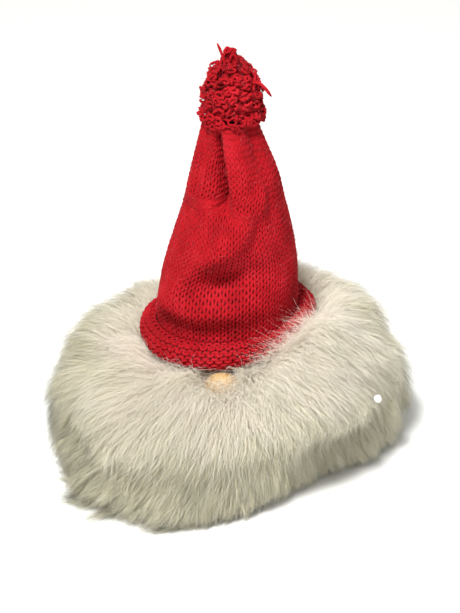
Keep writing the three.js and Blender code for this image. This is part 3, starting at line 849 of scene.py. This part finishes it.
        # Painted shade: hairs rooted low on the coat are darker.
        tones = rng.uniform(0.4, 1.0, count) - 0.3 * smooth(roots, 45, 75)
        tones[rng.uniform(0, 1, count) < 0.01] = 0.02
        return lines, taper(count, 6, wool.thick * 0.6, rng), np.clip(tones, 0.02, 1)

    def stray_hairs(self, wool, rng):
        """Loose hairs that stray over the brim, and the brownish ones over the lower half of the nose."""
        right, left, nose = 2300, 700, 620
        count = right + left
        angle = np.concatenate([
            rng.normal(math.radians(50), math.radians(16), right),
            rng.normal(math.radians(-38), math.radians(27), left),
        ])
        strength = np.concatenate([rng.beta(1.0, 2.0, right) * 1.5, rng.uniform(0.1, 0.5, left)])
        root = wool_at(angle, rng.uniform(9, 22, count), rng.uniform(-5, 1, count))
        t = np.linspace(0, 1, 6)[None, :, None]
        inward = np.stack([-np.sin(angle), np.cos(angle), np.zeros(count)], -1)
        side = np.stack([np.cos(angle), np.sin(angle), np.zeros(count)], -1)
        reach = (rng.normal(4, 4.5, count) * strength)[:, None, None]
        rise = (rng.uniform(2, 14, count) * strength)[:, None, None]
        sway = rng.normal(-1, 7, count)[:, None, None]
        curl = rng.normal(0, 2.4, count)[:, None, None]
        phase = rng.uniform(0, TURN, count)[:, None, None]
        up = np.array([0, 0, 1.0])
        lines = (root[:, None, :] + inward[:, None, :] * reach * t**1.5 + up * rise * (t - 0.3 * t**3)
                 + side[:, None, :] * (sway * t**1.3 + curl * np.sin(6 * t + phase) * t))
        lines = np.concatenate([off_brim(lines), self.nose_hairs(rng, nose)])
        tones = np.concatenate([rng.uniform(0.5, 1.0, count), rng.uniform(0.08, 0.36, nose)])
        return lines, taper(len(lines), 6, wool.thick * 0.38, rng), tones

    def nose_hairs(self, rng, count):
        """The fuzz on the lower part of the nose."""
        t = np.linspace(0, 1, 6)[None, :, None]
        turn = rng.uniform(-1.5, 1.5, count)
        low = rng.uniform(-0.9, 0.55, count)
        around = np.sqrt(1 - low**2)
        facing = np.stack([around * np.sin(turn), -around * np.cos(turn), low], -1)
        root = NOSE_AT + facing * (NOSE_RADIUS + rng.uniform(0.3, 1.6, count))[:, None]
        along = rng.normal(0, 2.6, (count, 3)) + np.array([0, -0.6, 1.6])
        bend = rng.normal(0, 1.2, (count, 3))
        lines = root[:, None, :] + along[:, None, :] * t + bend[:, None, :] * np.sin(math.pi * t)
        return off_nose(lines, 0.25)


def off_brim(lines):
    """Keeps hairs just outside the rolled brim and the wall over it."""
    x, y, z = lines[..., 0], lines[..., 1], lines[..., 2]
    radius = np.maximum(np.hypot(x, y), 1)
    middle = ROLL_HEIGHT + settled(x, y, np.full_like(x, ROLL_HEIGHT))[..., 2] - ROLL_HEIGHT
    height = z - middle
    scale = np.maximum((ROLL + 0.5) / np.maximum(np.hypot(radius - ROLL_RADIUS, height), 0.5), 1)
    least = np.where(height > ROLL, WALL_RADIUS + 1, 0)
    outer = np.maximum(ROLL_RADIUS + (radius - ROLL_RADIUS) * scale, least)
    return np.stack([x * outer / radius, y * outer / radius, middle + height * scale], -1)


class TOMTE_OT_undercoat(bpy.types.Operator):
    """Makes the dense undercoat that the locks grow from"""

    bl_idname = "tomte.undercoat"
    bl_label = "Undercoat"

    def execute(self, context):
        finish = undercoat_shade_material(context.scene.tomte_colours)
        half = BEARD_HALF_ANGLE
        for name, start, wide, node_name in (
            ("beard_undercoat", -half, 2 * half, "beard_fleece"),
            ("body_undercoat", half, TURN - 2 * half, "body_fleece"),
        ):
            show(name, mesh_of(self.ring(start, wide)), finish, "body", [node_name])
        return {"FINISHED"}

    def ring(self, start, wide):
        """A sector of the undercoat. Its section is drawn as (along, out) of the wool and turned, and each
        point is then put in its place."""
        shift, apart = 10, 0.006
        outer = [(shift + along, -7.5) for along in np.linspace(6, WOOL_LENGTH - 6, 26)]
        inner = [(shift + along, -15) for along in np.linspace(WOOL_LENGTH - 13, 12, 12)]
        facets = max(int(wide / TURN * 150), 8)
        bm = turned([*outer, *inner, outer[0]], facets, wide - 2 * apart, start + apart)
        bmesh.ops.holes_fill(bm, edges=[e for e in bm.edges if e.is_boundary], sides=0)

        def place(at):
            angle = np.arctan2(at[:, 0], -at[:, 1])
            along = np.hypot(at[:, 0], at[:, 1]) - shift
            rough = (lumps(angle, along) * 0.8 + tier(angle, along)) * (at[:, 2] > -10)
            point = wool_at(angle, along, at[:, 2] + rough)
            point[:, 2] = np.maximum(point[:, 2], 1.2)
            return off_nose(point, 1.0)

        return moved(bm, place)


# ---------- the cap ----------
class Cloth:
    """The cap's cloth as a surface: a wale and a row give a point and the direction of the knit side."""

    def __init__(self, knit):
        self.wales = knit.wales
        inset = knit.yarn
        wall = eased([
            (lerp(WALL_RADIUS, GATHER, inwards) - inset, lerp(WALL_FOOT, CAP_TOP - 1.5, up))
            for inwards, up in ((1, 1), (0.92, 0.92), (0.63, 0.72), (0.47, 0.57), (0.27, 0.42),
                                (0.09, 0.26), (0.01, 0.1), (0, 0))
        ], 90)
        turn = np.radians(np.linspace(180, 490, 40))
        roll = np.stack([
            ROLL_RADIUS + (ROLL - inset) * np.cos(turn), ROLL_HEIGHT + (ROLL - inset) * np.sin(turn),
        ], -1)
        line = np.vstack([wall, roll])
        run = run_of(line)
        self.rows = int(run[-1] / knit.row)
        self.wall_rows = int(run[len(wall) - 1] / knit.row)
        self.per_row = 3
        places = np.linspace(0, self.rows * knit.row, self.rows * self.per_row + 1)
        radius = np.interp(places, run, line[:, 0])
        height = np.interp(places, run, line[:, 1])
        on_roll = smooth(places, run[len(wall) - 1], run[len(wall) + 6])
        self.per_wale = 6
        self.grid = np.array([self.course(*each) for each in zip(radius, height, on_roll)])
        down = np.gradient(self.grid, axis=0)
        ringed = np.concatenate([self.grid[:, -2:-1], self.grid, self.grid[:, 1:2]], 1)
        across = (ringed[:, 2:] - ringed[:, :-2]) / 2
        normal = np.cross(across, -down)
        self.normal = normal / np.linalg.norm(normal, axis=-1, keepdims=True)

    def course(self, radius, height, on_roll):
        """One line round the cap, its points spread evenly by the length of the cloth on each side."""
        angle = np.linspace(-math.pi, math.pi, 1081)
        z = np.full_like(angle, height)
        waves = 0.35 * np.sin(3 * angle + 1) + 0.25 * np.sin(7 * angle + 2) + 0.15 * np.sin(12 * angle)
        uneven = on_roll * waves
        out = radius + pleats(angle, z, radius) * (1 - on_roll) + uneven
        line = draped(np.maximum(out, 4.0), angle, z + 0.5 * uneven)
        run = run_of(line)
        front = len(angle) // 2
        half = self.wales * self.per_wale // 2
        left = np.interp(np.linspace(0, run[front], half + 1), run, angle)
        right = np.interp(np.linspace(run[front], run[-1], half + 1), run, angle)
        chosen = np.concatenate([left, right[1:]])
        return np.stack([np.interp(chosen, angle, line[:, i]) for i in range(3)], -1)

    def at(self, wale, row, off=0.0):
        """Points off the cloth by a distance towards the knit side. Row 0 is the gather."""
        across = (wale % self.wales) * self.per_wale
        down = np.clip(row * self.per_row, 0, len(self.grid) - 1.001)
        i, j = down.astype(int), across.astype(int)
        a, b = (down - i)[..., None], (across - j)[..., None]

        def mixed(values):
            above = lerp(values[i, j], values[i, j + 1], b)
            below = lerp(values[i + 1, j], values[i + 1, j + 1], b)
            return lerp(above, below, a)

        return mixed(self.grid) + mixed(self.normal) * np.asarray(off)[..., None]


class TOMTE_OT_cap(bpy.types.Operator):
    """Makes the cap: its yarn row by row, the back of its cloth, and loose fibres"""

    bl_idname = "tomte.cap"
    bl_label = "Knitted cap"

    def execute(self, context):
        knit, colours = context.scene.tomte_knit, context.scene.tomte_colours
        cloth = Cloth(knit)
        yarn = yarn_material("knitted_yarn", colours)
        rng = np.random.default_rng(5)
        for i, part in enumerate(np.array_split(np.arange(1, cloth.rows), 3)):
            self.courses(f"cap_knitting_{i + 1}", cloth, part, knit, yarn, rng)
        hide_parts("knitted_hat")
        fuzz = self.fuzz(cloth, knit, rng, colours)
        back = self.back(cloth, knit, colours)
        return {"FINISHED"}

    def courses(self, name, cloth, rows, knit, finish, rng):
        """Rows of stocking stitch: in each stitch the yarn comes forward in two legs and passes behind in the
        loops at its head and foot."""
        steps = 12
        turn = np.arange(knit.wales * steps) / steps * TURN
        lines = []
        for row in rows:
            loose = 1 + 0.05 * np.sin(turn / TURN * 1.7 + row) + rng.normal(0, 0.012, len(turn))
            wale = turn / TURN + 0.235 * np.sin(2 * turn) * loose
            course = row - 0.80 * np.cos(turn) * loose
            off = -0.42 * np.cos(2 * turn)
            lines.append(cloth.at(wale, course, off))
        mesh = tubes(lines, [knit.yarn] * len(lines), 5, closed=True)
        uv = read_uv(mesh)
        strip = np.repeat(np.arange(len(lines)), len(uv) // len(lines))
        write_uv(mesh, np.stack([uv[:, 0], (strip + 0.04 + 0.92 * uv[:, 1]) / len(lines)], -1))
        return show(name, mesh, finish, "hat")

    def back(self, cloth, knit, colours):
        """The cloth behind the yarn, one closed shell from the gather to the rolled edge, dark as painted
        shade between the stitches.
        """
        across, down = knit.wales * 3, cloth.rows * 2
        bm = bmesh.new()
        bmesh.ops.create_grid(bm, x_segments=across, y_segments=down, size=0.5)

        def place(at):
            wale = (at[:, 0] + 0.5) * knit.wales
            row = (at[:, 1] + 0.5) * (cloth.rows - 2.4) + 0.7
            behind = lerp(-0.5, 0.55, smooth(row, cloth.wall_rows - 1, cloth.wall_rows + 4))
            return cloth.at(wale * (1 - 1e-9), row, behind)

        moved(bm, place)
        bmesh.ops.remove_doubles(bm, verts=[v for v in bm.verts if v.is_boundary], dist=0.02)
        piece = show("cap_cloth_back", mesh_of(bm), lining_shade_material(colours), "hat", ["knitted_hat"])
        wall = piece.modifiers.new("thickness", "SOLIDIFY")
        wall.thickness = 0.4 * MM
        wall.offset = 0
        return piece

    def fuzz(self, cloth, knit, rng, colours):
        """Short loose fibres that stand off the yarn, and a few longer ones."""
        on_wall, on_roll = knit.fuzz, knit.fuzz // 2
        count = on_wall + on_roll
        wale = rng.uniform(0, knit.wales, count)
        row = np.concatenate([
            rng.uniform(0.5, cloth.wall_rows, on_wall), rng.uniform(cloth.wall_rows, cloth.rows - 1, on_roll),
        ])
        side = np.where(row > cloth.wall_rows + 2, -1.0, 1.0)
        reach = rng.gamma(2.0, 0.35, count)
        across = rng.normal(0, 0.5, count)
        down = rng.normal(0, 0.5, count)
        t = np.linspace(0, 1, 4)
        bend = rng.normal(0, 0.25, count)
        lines = np.stack([
            cloth.at(wale + across * reach * step + bend * step * (1 - step), row + down * reach * step,
                     side * (0.6 + 0.75 * reach * math.sin(math.pi * (0.15 + 0.6 * step))))
            for step in t
        ], 1)
        mesh = strands(lines, fibre_radii(count), rng.uniform(0, 1, count))
        return show("cap_fuzz", mesh, fibre_material("loose_cap_fibres", colours), "hat")


def spiral(centre, radius, turns, facing, lift, points, rng):
    """A loose, uneven ring of yarn: turns round an axis that faces one way, and creeps along it."""
    facing = Vector(facing).normalized()
    frame_of = facing.to_track_quat("Z", "Y").to_matrix()
    t = np.linspace(0, 1, points)
    turn = rng.uniform(0, TURN) + TURN * turns * t
    uneven = radius * (1 + 0.22 * np.sin(1.7 * turn + rng.uniform(0, TURN)) + 0.14 * np.sin(2.6 * turn))
    ring = np.stack([uneven * np.cos(turn), uneven * rng.uniform(0.6, 1.0) * np.sin(turn), lift * t], -1)
    ring += rng.normal(0, 0.13, ring.shape)
    return np.array(centre) + ring @ np.array(frame_of).T


class TOMTE_OT_tuft(bpy.types.Operator):
    """Makes the tuft: rings, loops and loose ends of yarn over a tight core, and the gathering thread"""

    bl_idname = "tomte.tuft"
    bl_label = "Tuft"

    def execute(self, context):
        knit, colours = context.scene.tomte_knit, context.scene.tomte_colours
        rng = np.random.default_rng(23)
        yarn = yarn_material("tuft_yarn", colours)
        self.centre = np.array([lean_at(CAP_TOP) + 0.9, 0, 0])
        lines, radii = [], []
        self.rings(lines, radii, knit, rng)
        self.curls(lines, radii, knit, rng)
        self.spire(lines, radii, knit, rng)
        mesh = welded(tubes(lines, radii, 5))
        show("tuft_loops", mesh, yarn, "hat", ["crown_tuft"])
        self.core(yarn)
        self.fibres(rng, colours)
        self.gather_thread(colours)
        return {"FINISHED"}

    def reach(self, height):
        """The tuft's radius at a height over the gather."""
        heights = [0, 4, 9, 14, 18, 21, 23.5, 33]
        return np.interp(height, heights, [11.6, 12.2, 12.0, 11.0, 9.0, 6.6, 3.2, 1.4])

    def around(self, angle, height, out):
        """A point round the tuft's middle."""
        return self.centre + [out * math.sin(angle), -out * math.cos(angle) * 0.94, CAP_TOP + height]

    def rings(self, lines, radii, knit, rng):
        """Two rows of open loops at the base, where the cloth was drawn together."""
        count = 54
        for i in range(count):
            angle = 2 * TURN * i / count + rng.normal(0, 0.06)
            height = rng.uniform(-3.2, -0.8) if i % 2 else rng.uniform(-1, 1.6)
            centre = self.around(angle, height, GATHER + 0.9)
            facing = np.array([math.sin(angle), -math.cos(angle), 0.25]) + rng.normal(0, 0.3, 3)
            lines.append(spiral(centre, rng.uniform(1.1, 1.8), 1.15, facing, 0.9, 14, rng))
            radii.append(knit.yarn * rng.uniform(0.8, 1.05))

    def curls(self, lines, radii, knit, rng):
        """Tight curls of unravelled yarn, heaped over the core."""
        for _ in range(knit.loops):
            height = 0.4 + 23.5 * rng.beta(1.1, 1.6)
            angle = rng.uniform(0, TURN)
            out = self.reach(height) * rng.uniform(0.84, 1.02) - 0.5
            centre = self.around(angle, height, out)
            facing = np.array([math.sin(angle), -math.cos(angle), 0.3]) + rng.normal(0, 0.9, 3)
            size, turns = rng.uniform(1.1, 1.9), rng.uniform(0.8, 1.7)
            lines.append(spiral(centre, size, turns, facing, rng.uniform(1, 3), 15, rng))
            radii.append(knit.yarn * rng.uniform(0.8, 1.1))

    def spire(self, lines, radii, knit, rng):
        """Yarn ends that stand up in a point, rings at its top, and three loose ends that stick out."""
        tip = SPIRE_TIP - 2
        for i in range(9):
            angle = TURN * i / 9
            start = self.centre + [4.4 * math.sin(angle), -4.4 * math.cos(angle), CAP_TOP + 14]
            height = tip - rng.uniform(1, 8)
            end = self.centre + [-1.6 + 2.0 * math.sin(angle), -1 - 1.6 * math.cos(angle), height]
            t = np.linspace(0, 1, 12)[:, None]
            twist = 1.1 * np.stack([np.sin(7 * t[:, 0] + i), np.cos(7 * t[:, 0] + i), 0 * t[:, 0]], -1)
            lines.append(start + (end - start) * t + twist)
            radii.append(knit.yarn * 1.0)
        for centre, size in (
            ((-0.2, -2, tip - 2.2), 1.5), ((0.6, -2, tip - 6), 1.7), ((-2.2, -2, tip - 1.8), 1.1),
        ):
            lines.append(spiral(self.centre + centre, size, 1.3, (0.2, -1, 0.2), 1.5, 14, rng))
            radii.append(knit.yarn * 0.9)
        ends = (
            [(-2.5, -3, tip - 14), (-3.2, -3.5, tip - 7), (-4.6, -3.2, tip - 2.5), (-6.2, -3, tip + 1.4)],
            [(8, -4, CAP_TOP + 15), (11.5, -5, CAP_TOP + 15.5), (14.5, -5.5, CAP_TOP + 13),
             (17, -5.5, CAP_TOP + 9.5)],
            [(-7, -3, CAP_TOP + 15), (-8.5, -3, CAP_TOP + 20), (-9.6, -3, CAP_TOP + 23.5)],
        )
        for end, size in zip(ends, (0.95, 1.15, 0.6)):
            lines.append(self.centre * [1, 1, 0] + eased(end, 12))
            thin = np.full(12, knit.yarn * size)
            thin[-2:] *= (0.8, 0.45)
            radii.append(thin)

    def fibres(self, rng, colours):
        """Fine fibres that stand off the loops."""
        count = 1500
        height = rng.uniform(-0.5, 25, count)
        angle = rng.uniform(0, TURN, count)
        outward = np.stack([np.sin(angle), -np.cos(angle), np.zeros(count)], -1)
        up = (CAP_TOP + height)[:, None] * [0, 0, 1]
        root = self.centre + outward * (self.reach(height) - 1)[:, None] + up
        along = outward * rng.gamma(2.2, 0.75, count)[:, None] + rng.normal(0, 1.3, (count, 3))
        bend = rng.normal(0, 0.6, (count, 3))
        lines = np.stack([root + along * t + bend * math.sin(math.pi * t) for t in np.linspace(0, 1, 4)], 1)
        mesh = strands(lines, fibre_radii(count), rng.uniform(0, 1, count))
        show("tuft_fibres", mesh, fibre_material("loose_tuft_fibres", colours), "hat")

    def core(self, yarn):
        """The drawn-in cloth under the loops."""
        outline = [(0, 0.4), (10.4, 0.4), (11.4, 2), (11.2, 6), (10, 11), (7.4, 15), (4.8, 18), (3.4, 23),
                   (1.8, 28), (0, 29)]
        bm = turned([(r, CAP_TOP + z) for r, z in outline], 32)
        bmesh.ops.subdivide_edges(bm, edges=bm.edges, cuts=1, use_grid_fill=True)

        def place(at):
            angle = np.arctan2(at[:, 0], -at[:, 1])
            lump = 1 + 0.07 * np.sin(9 * angle + at[:, 2]) + 0.05 * np.sin(5 * angle - 1.7 * at[:, 2])
            return np.stack([at[:, 0] * lump, at[:, 1] * lump * 0.94, at[:, 2]], -1) + self.centre * [1, 1, 0]

        show("tuft_core", mesh_of(moved(bm, place)), yarn, "hat", ["crown_tuft"])

    def gather_thread(self, colours):
        """A doubled thread that draws the cap's top in."""
        angle = np.linspace(0, TURN, 121)[:-1]
        lines = []
        for ply in (0, math.pi):
            radius = GATHER + 0.7 + 0.42 * np.cos(24 * angle + ply)
            lines.append(draped(radius, angle - math.pi, CAP_TOP - 1.4 + 0.42 * np.sin(24 * angle + ply)))
        mesh = tubes(lines, [0.42, 0.42], 6, closed=True)
        thread = yarn_material("gather_thread_dyed", colours)
        show("gathering_thread", mesh, thread, "hat", ["gather_thread"])


# ---------- what is under the wool ----------
def dome(by):
    """The padding's line from the foot's edge up to the neck, moved outwards by a distance."""
    radius, top = NECK_RADIUS + 2.3, WADDING_TOP
    line = eased([
        (BOARD_RADIUS, STANDING + 0.2),
        (BOARD_RADIUS + 2, lerp(STANDING, top, 0.26)),
        (lerp(radius, BOARD_RADIUS, 0.84), lerp(STANDING + 0.2, top, 0.57)),
        (lerp(radius, BOARD_RADIUS, 0.52), lerp(STANDING + 0.2, top, 0.81)),
        (lerp(radius, BOARD_RADIUS, 0.21), lerp(STANDING + 0.2, top, 0.94)),
        (radius, top),
    ], 20)
    slope = np.gradient(line, axis=0)
    slope /= np.linalg.norm(slope, axis=1, keepdims=True)
    return line + by * np.stack([slope[:, 1], -slope[:, 0]], -1)


def clear_nose_and_peg(at):
    """Moves points out of the room that the nose and its peg need."""
    at = off_nose(at, 0.7)
    side = at - NOSE_AT
    round_peg = np.hypot(side[:, 0], side[:, 2])
    behind = (at[:, 1] > NOSE_AT[1]) & (at[:, 1] < -CONE_RADIUS + 1) & (round_peg < PEG_RADIUS + 0.7)
    scale = np.where(behind, (PEG_RADIUS + 0.7) / np.maximum(round_peg, 0.3), 1)
    side[:, 0] *= scale
    side[:, 2] *= scale
    return NOSE_AT + side


class TOMTE_OT_body(bpy.types.Operator):
    """Makes the padding, the two hides, the felt, the seams and the neck cord"""

    bl_idname = "tomte.body"
    bl_label = "Padding, hides and threads"

    def execute(self, context):
        self.padding()
        self.hides()
        self.felt()
        self.threads()
        return {"FINISHED"}

    def padding(self):
        # Carded polyester: white crimped fibres without shine, in soft clumps.
        finish = spotted_material("polyester_wadding", "#d9d6cc", "#f6f4ee", 1.6, (0.9, 0.8), 1.0)
        inner = NECK_RADIUS + 0.1
        outline = [(inner, STANDING + 0.4), *map(tuple, dome(-0.1)), (inner, WADDING_TOP - 0.5)]
        bm = turned([*outline, outline[0]], 120)

        def place(at):
            angle = np.arctan2(at[:, 0], -at[:, 1])
            radius = np.hypot(at[:, 0], at[:, 1])
            dent = 0.25 * (1 + np.sin(17 * angle + at[:, 2] * 0.4) * np.sin(at[:, 2] * 0.7)) * (radius > 34)
            thin = 1 - dent / np.maximum(radius, 1)
            return clear_nose_and_peg(settled(at[:, 0] * thin, at[:, 1] * thin, at[:, 2]))

        piece = show("body_padding", mesh_of(moved(bm, place)), finish, "body", ["body_wadding"])
        bm = turned(self.crown_outline(), 64)

        def crown(at):
            return draped(np.hypot(at[:, 0], at[:, 1]), np.arctan2(at[:, 0], -at[:, 1]), at[:, 2])

        piece = show("cap_stuffing", mesh_of(moved(bm, crown)), finish, "hat", ["crown_wadding"])

    def crown_outline(self):
        """A soft plug under the gather, clear of the pleats."""
        low, high = span("crown_wadding")
        wide = (high[0] - low[0]) / 2 * 0.3
        return [(0, low[2]), (wide * 0.7, low[2] + 1), (wide, low[2] + 5), (wide * 0.8, high[2] - 8),
                (wide * 0.45, high[2] - 2), (0, high[2] - 1)]

    def hides(self):
        # Tanned hide: its flesh side is buffed to a pale tan nap.
        finish = spotted_material("tanned_sheepskin", "#b89d74", "#dfcba6", 0.8, (0.5, 0.2), 0.85)
        hem = BOARD_RADIUS - 15
        inner, outer = 0.35, SKIN_THICK + 0.25
        line = self.pelt_line(inner, hem) + self.pelt_line(outer, hem)[::-1]
        length = run_of(np.array(self.pelt_line((inner + outer) / 2, hem)))[-1]
        for name, start, wide, gone in (
            ("beard_hide", -BEARD_HALF_ANGLE + 0.006, 2 * BEARD_HALF_ANGLE - 0.012, "beard_skin"),
            ("body_hide", BEARD_HALF_ANGLE, TURN - 2 * BEARD_HALF_ANGLE, "body_skin"),
        ):
            bm = turned([*line, line[0]], max(int(150 * wide / TURN), 12), wide, start)
            bmesh.ops.holes_fill(bm, edges=[e for e in bm.edges if e.is_boundary], sides=0)
            moved(bm, lambda at: clear_nose_and_peg(settled(*at.T)))
            piece = show(name, mesh_of(bm), finish, "body", [gone])

    def pelt_line(self, by, hem):
        """The hide's line: from its hem under the board, round the edge and up the padding to the collar."""
        edge = BOARD_RADIUS + by
        up = [tuple(p) for p in dome(by)[1:-1] if p[1] > STANDING + 1 and p[0] > NECK_RADIUS + by + 1.8]
        return [(hem, FOOT_BOTTOM - by), (BOARD_RADIUS - 1, FOOT_BOTTOM - by), (edge, FOOT_BOTTOM + 0.5),
                (edge, STANDING), *up, (NECK_RADIUS + by + 0.6, WADDING_TOP + by),
                (NECK_RADIUS + by + 0.3, NECK_TOP)]

    def felt(self):
        # Pressed wool felt: grey, matted and without shine.
        finish = spotted_material("pressed_felt", "#77746e", "#a19d95", 0.6, (0.8, 0.3), 0.97)
        radius, low, high = FELT_HIGH[0], FELT_LOW[2], FELT_HIGH[2]
        edge = 0.5
        outline = [(0, low), (radius - edge, low), (radius - 0.1, low + edge), (radius, (low + high) / 2),
                   (radius - 0.1, high - edge), (radius - edge, high), (0, high)]
        bm = turned(outline, 96)
        piece = show("felt_disc", mesh_of(bm), finish, "body", ["base_felt"])

    def threads(self):
        """A whipped seam up each side of the beard, and the twisted cord that draws the neck in."""
        # Waxed linen thread: straw-coloured, smoother than wool.
        finish = spotted_material("waxed_linen", "#a58a5e", "#dcc79c", 0.5, (0.4, 0.1), 0.7)
        for name, side in (("left", -1), ("right", 1)):
            line = dome(SKIN_THICK + 1.0)
            line = line[(line[:, 1] > STANDING + 2) & (line[:, 1] < WADDING_TOP - 0.6)]
            run = run_of(line)
            stitches = int(run[-1] / 3.2)
            t = np.linspace(0.03, 0.97, stitches * 8)
            at = np.stack([np.interp(t * run[-1], run, line[:, i]) for i in (0, 1)], -1)
            across = 1.6 * np.sin(TURN * stitches * t)
            proud = 0.35 * np.cos(TURN * stitches * t)
            angle = side * BEARD_HALF_ANGLE + across / at[:, 0]
            radius = at[:, 0] + proud
            points = settled(radius * np.sin(angle), -radius * np.cos(angle), at[:, 1] + 0.3 + proud)
            mesh = welded(tubes([points], [0.33], 6))
            show(f"whipped_seam_{name}", mesh, finish, "body", [f"seam_thread_{name}"])
        angle = np.linspace(0, TURN, 241)[:-1]
        lines = []
        for ply in range(3):
            phase = 36 * angle + TURN * ply / 3
            radius = NECK_RING + 0.45 * np.cos(phase)
            height = NECK_HEIGHT + 0.45 * np.sin(phase)
            lines.append(settled(radius * np.sin(angle), -radius * np.cos(angle), height))
        mesh = tubes(lines, [0.46] * 3, 6, closed=True)
        show("drawn_neck_cord", mesh, finish, "body", ["neck_cord"])


class TOMTE_OT_wood(bpy.types.Operator):
    """Gives the turned and sawn pieces their wood, and makes the smooth nose bead"""

    bl_idname = "tomte.wood"
    bl_label = "Wood and steel"

    def execute(self, context):
        colours = context.scene.tomte_colours
        turned_wood = wood_material("turned_birch", colours.birch, colours.birch_dark, "Z")
        ply = wood_material("birch_plywood", "#e6c998", "#c9a068", "X", ring=2.2, roughness=0.65)
        dowel = wood_material("birch_dowel", "#dfbd86", "#bb8f58", "Y", ring=0.9)
        steel = steel_material()
        for name, finish in (("head_cone", turned_wood), ("base_board", ply), ("nose_peg", dowel),
                             ("core_screw", steel), ("pin_shank", steel)):
            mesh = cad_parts[name].data
            mesh.materials.clear()
            mesh.materials.append(finish)
        self.nose(wood_material("turned_birch_bead", "#c6a36b", "#a98049", "Y", ring=1.3))
        return {"FINISHED"}

    def nose(self, finish):
        """A round bead, turned on a lathe and bored for its peg."""
        bore = PEG_RADIUS + GAP
        mouth = math.asin(bore / NOSE_RADIUS)
        turn = np.linspace(mouth, math.pi, 28)
        ball = [(NOSE_RADIUS * math.sin(a), NOSE_RADIUS * math.cos(a)) for a in turn]
        deep = NOSE_RADIUS * math.cos(mouth) - 7
        outline = [(0, deep), (bore, deep), *ball]
        outline[-1] = (0, -NOSE_RADIUS)
        bm = turned(outline, 56)
        bmesh.ops.rotate(bm, verts=bm.verts, cent=(0, 0, 0), matrix=Matrix.Rotation(-math.pi / 2, 3, "X"))
        bmesh.ops.translate(bm, verts=bm.verts, vec=Vector(NOSE_AT))
        show("turned_nose", mesh_of(bm), finish, "body", ["nose_bead"])


class TOMTE_OT_pearl(bpy.types.Operator):
    """Makes the pin's pearl head"""

    bl_idname = "tomte.pearl"
    bl_label = "Pearl"

    def execute(self, context):
        bm = bmesh.new()
        bmesh.ops.create_uvsphere(bm, u_segments=32, v_segments=20, radius=PEARL_RADIUS)
        bmesh.ops.translate(bm, verts=bm.verts, vec=Vector(PEARL_AT))
        show("pearl_head", mesh_of(bm), pearl_material(), "body", ["pin_head"])
        return {"FINISHED"}


# ---------- the stage ----------
class TOMTE_OT_stage(bpy.types.Operator):
    """Makes the pale floor, the soft lights and the camera"""

    bl_idname = "tomte.stage"
    bl_label = "Stage"

    def execute(self, context):
        bm = bmesh.new()
        bmesh.ops.create_grid(bm, x_segments=1, y_segments=1, size=3)
        mesh = bpy.data.meshes.new("floor")
        bm.to_mesh(mesh)
        bm.free()
        floor = bpy.data.objects.new("floor", mesh)
        floor_finish, _, _ = material("matt_paper", linear("#f4f4f2"), 0.9)
        mesh.materials.append(floor_finish)
        context.scene.collection.objects.link(floor)
        world = bpy.data.worlds.new("studio")
        world.use_nodes = True
        world.node_tree.nodes["Background"].inputs["Color"].default_value = linear("#fbfaf6")
        world.node_tree.nodes["Background"].inputs["Strength"].default_value = 0.36
        context.scene.world = world
        aim = Vector((0, 0, 0.07))
        for name, place, power, size in (
            ("key", (-0.22, -0.5, 1.08), 19.5, 0.25),
            ("fill", (0.8, -0.9, 0.6), 2.4, 1.0),
            ("back", (0.2, 0.9, 0.9), 2.5, 0.8),
        ):
            lamp = bpy.data.lights.new(name, "AREA")
            lamp.energy = power
            lamp.size = size
            holder = bpy.data.objects.new(name, lamp)
            holder.location = place
            holder.rotation_euler = (aim - Vector(place)).to_track_quat("-Z", "Y").to_euler()
            context.scene.collection.objects.link(holder)
        self.camera(context)
        context.scene.view_settings.view_transform = "Standard"
        return {"FINISHED"}

    def camera(self, context):
        """A short telephoto view from the front and 29 degrees above."""
        away, rise = 1.0, math.radians(29)
        aim = Vector((0.8, 0, 63.3)) * MM
        lens = bpy.data.cameras.new("camera")
        lens.lens = 129.1
        lens.clip_start = 0.05
        camera = bpy.data.objects.new("camera", lens)
        camera.location = aim + away * Vector((0, -math.cos(rise), math.sin(rise)))
        camera.rotation_euler = (aim - camera.location).to_track_quat("-Z", "Y").to_euler()
        context.scene.collection.objects.link(camera)
        context.scene.camera = camera


OPERATORS = (TOMTE_OT_stage, TOMTE_OT_wood, TOMTE_OT_body, TOMTE_OT_undercoat, TOMTE_OT_wool, TOMTE_OT_cap,
             TOMTE_OT_tuft, TOMTE_OT_pearl)


class TOMTE_PT_panel(bpy.types.Panel):
    """The tomte's pieces and settings"""

    bl_idname = "TOMTE_PT_panel"
    bl_label = "Tomte"
    bl_space_type = "VIEW_3D"
    bl_region_type = "UI"
    bl_category = "Tomte"

    def draw(self, context):
        for settings in (context.scene.tomte_colours, context.scene.tomte_wool, context.scene.tomte_knit):
            for name in settings.__annotations__:
                self.layout.prop(settings, name)
        for operator in OPERATORS:
            self.layout.operator(operator.bl_idname)


CLASSES = (TomteColours, TomteWool, TomteKnit, *OPERATORS, TOMTE_PT_panel)


def register():
    for each in CLASSES:
        bpy.utils.register_class(each)
    bpy.types.Scene.tomte_colours = bpy.props.PointerProperty(type=TomteColours)
    bpy.types.Scene.tomte_wool = bpy.props.PointerProperty(type=TomteWool)
    bpy.types.Scene.tomte_knit = bpy.props.PointerProperty(type=TomteKnit)


def unregister():
    for name in ("tomte_colours", "tomte_wool", "tomte_knit"):
        delattr(bpy.types.Scene, name)
    for each in reversed(CLASSES):
        bpy.utils.unregister_class(each)


def main():
    register()
    bpy.ops.tomte.stage()
    bpy.ops.tomte.wood()
    bpy.ops.tomte.body()
    bpy.ops.tomte.undercoat()
    bpy.ops.tomte.wool()
    bpy.ops.tomte.cap()
    bpy.ops.tomte.tuft()
    bpy.ops.tomte.pearl()


if __name__ == "__main__":
    main()
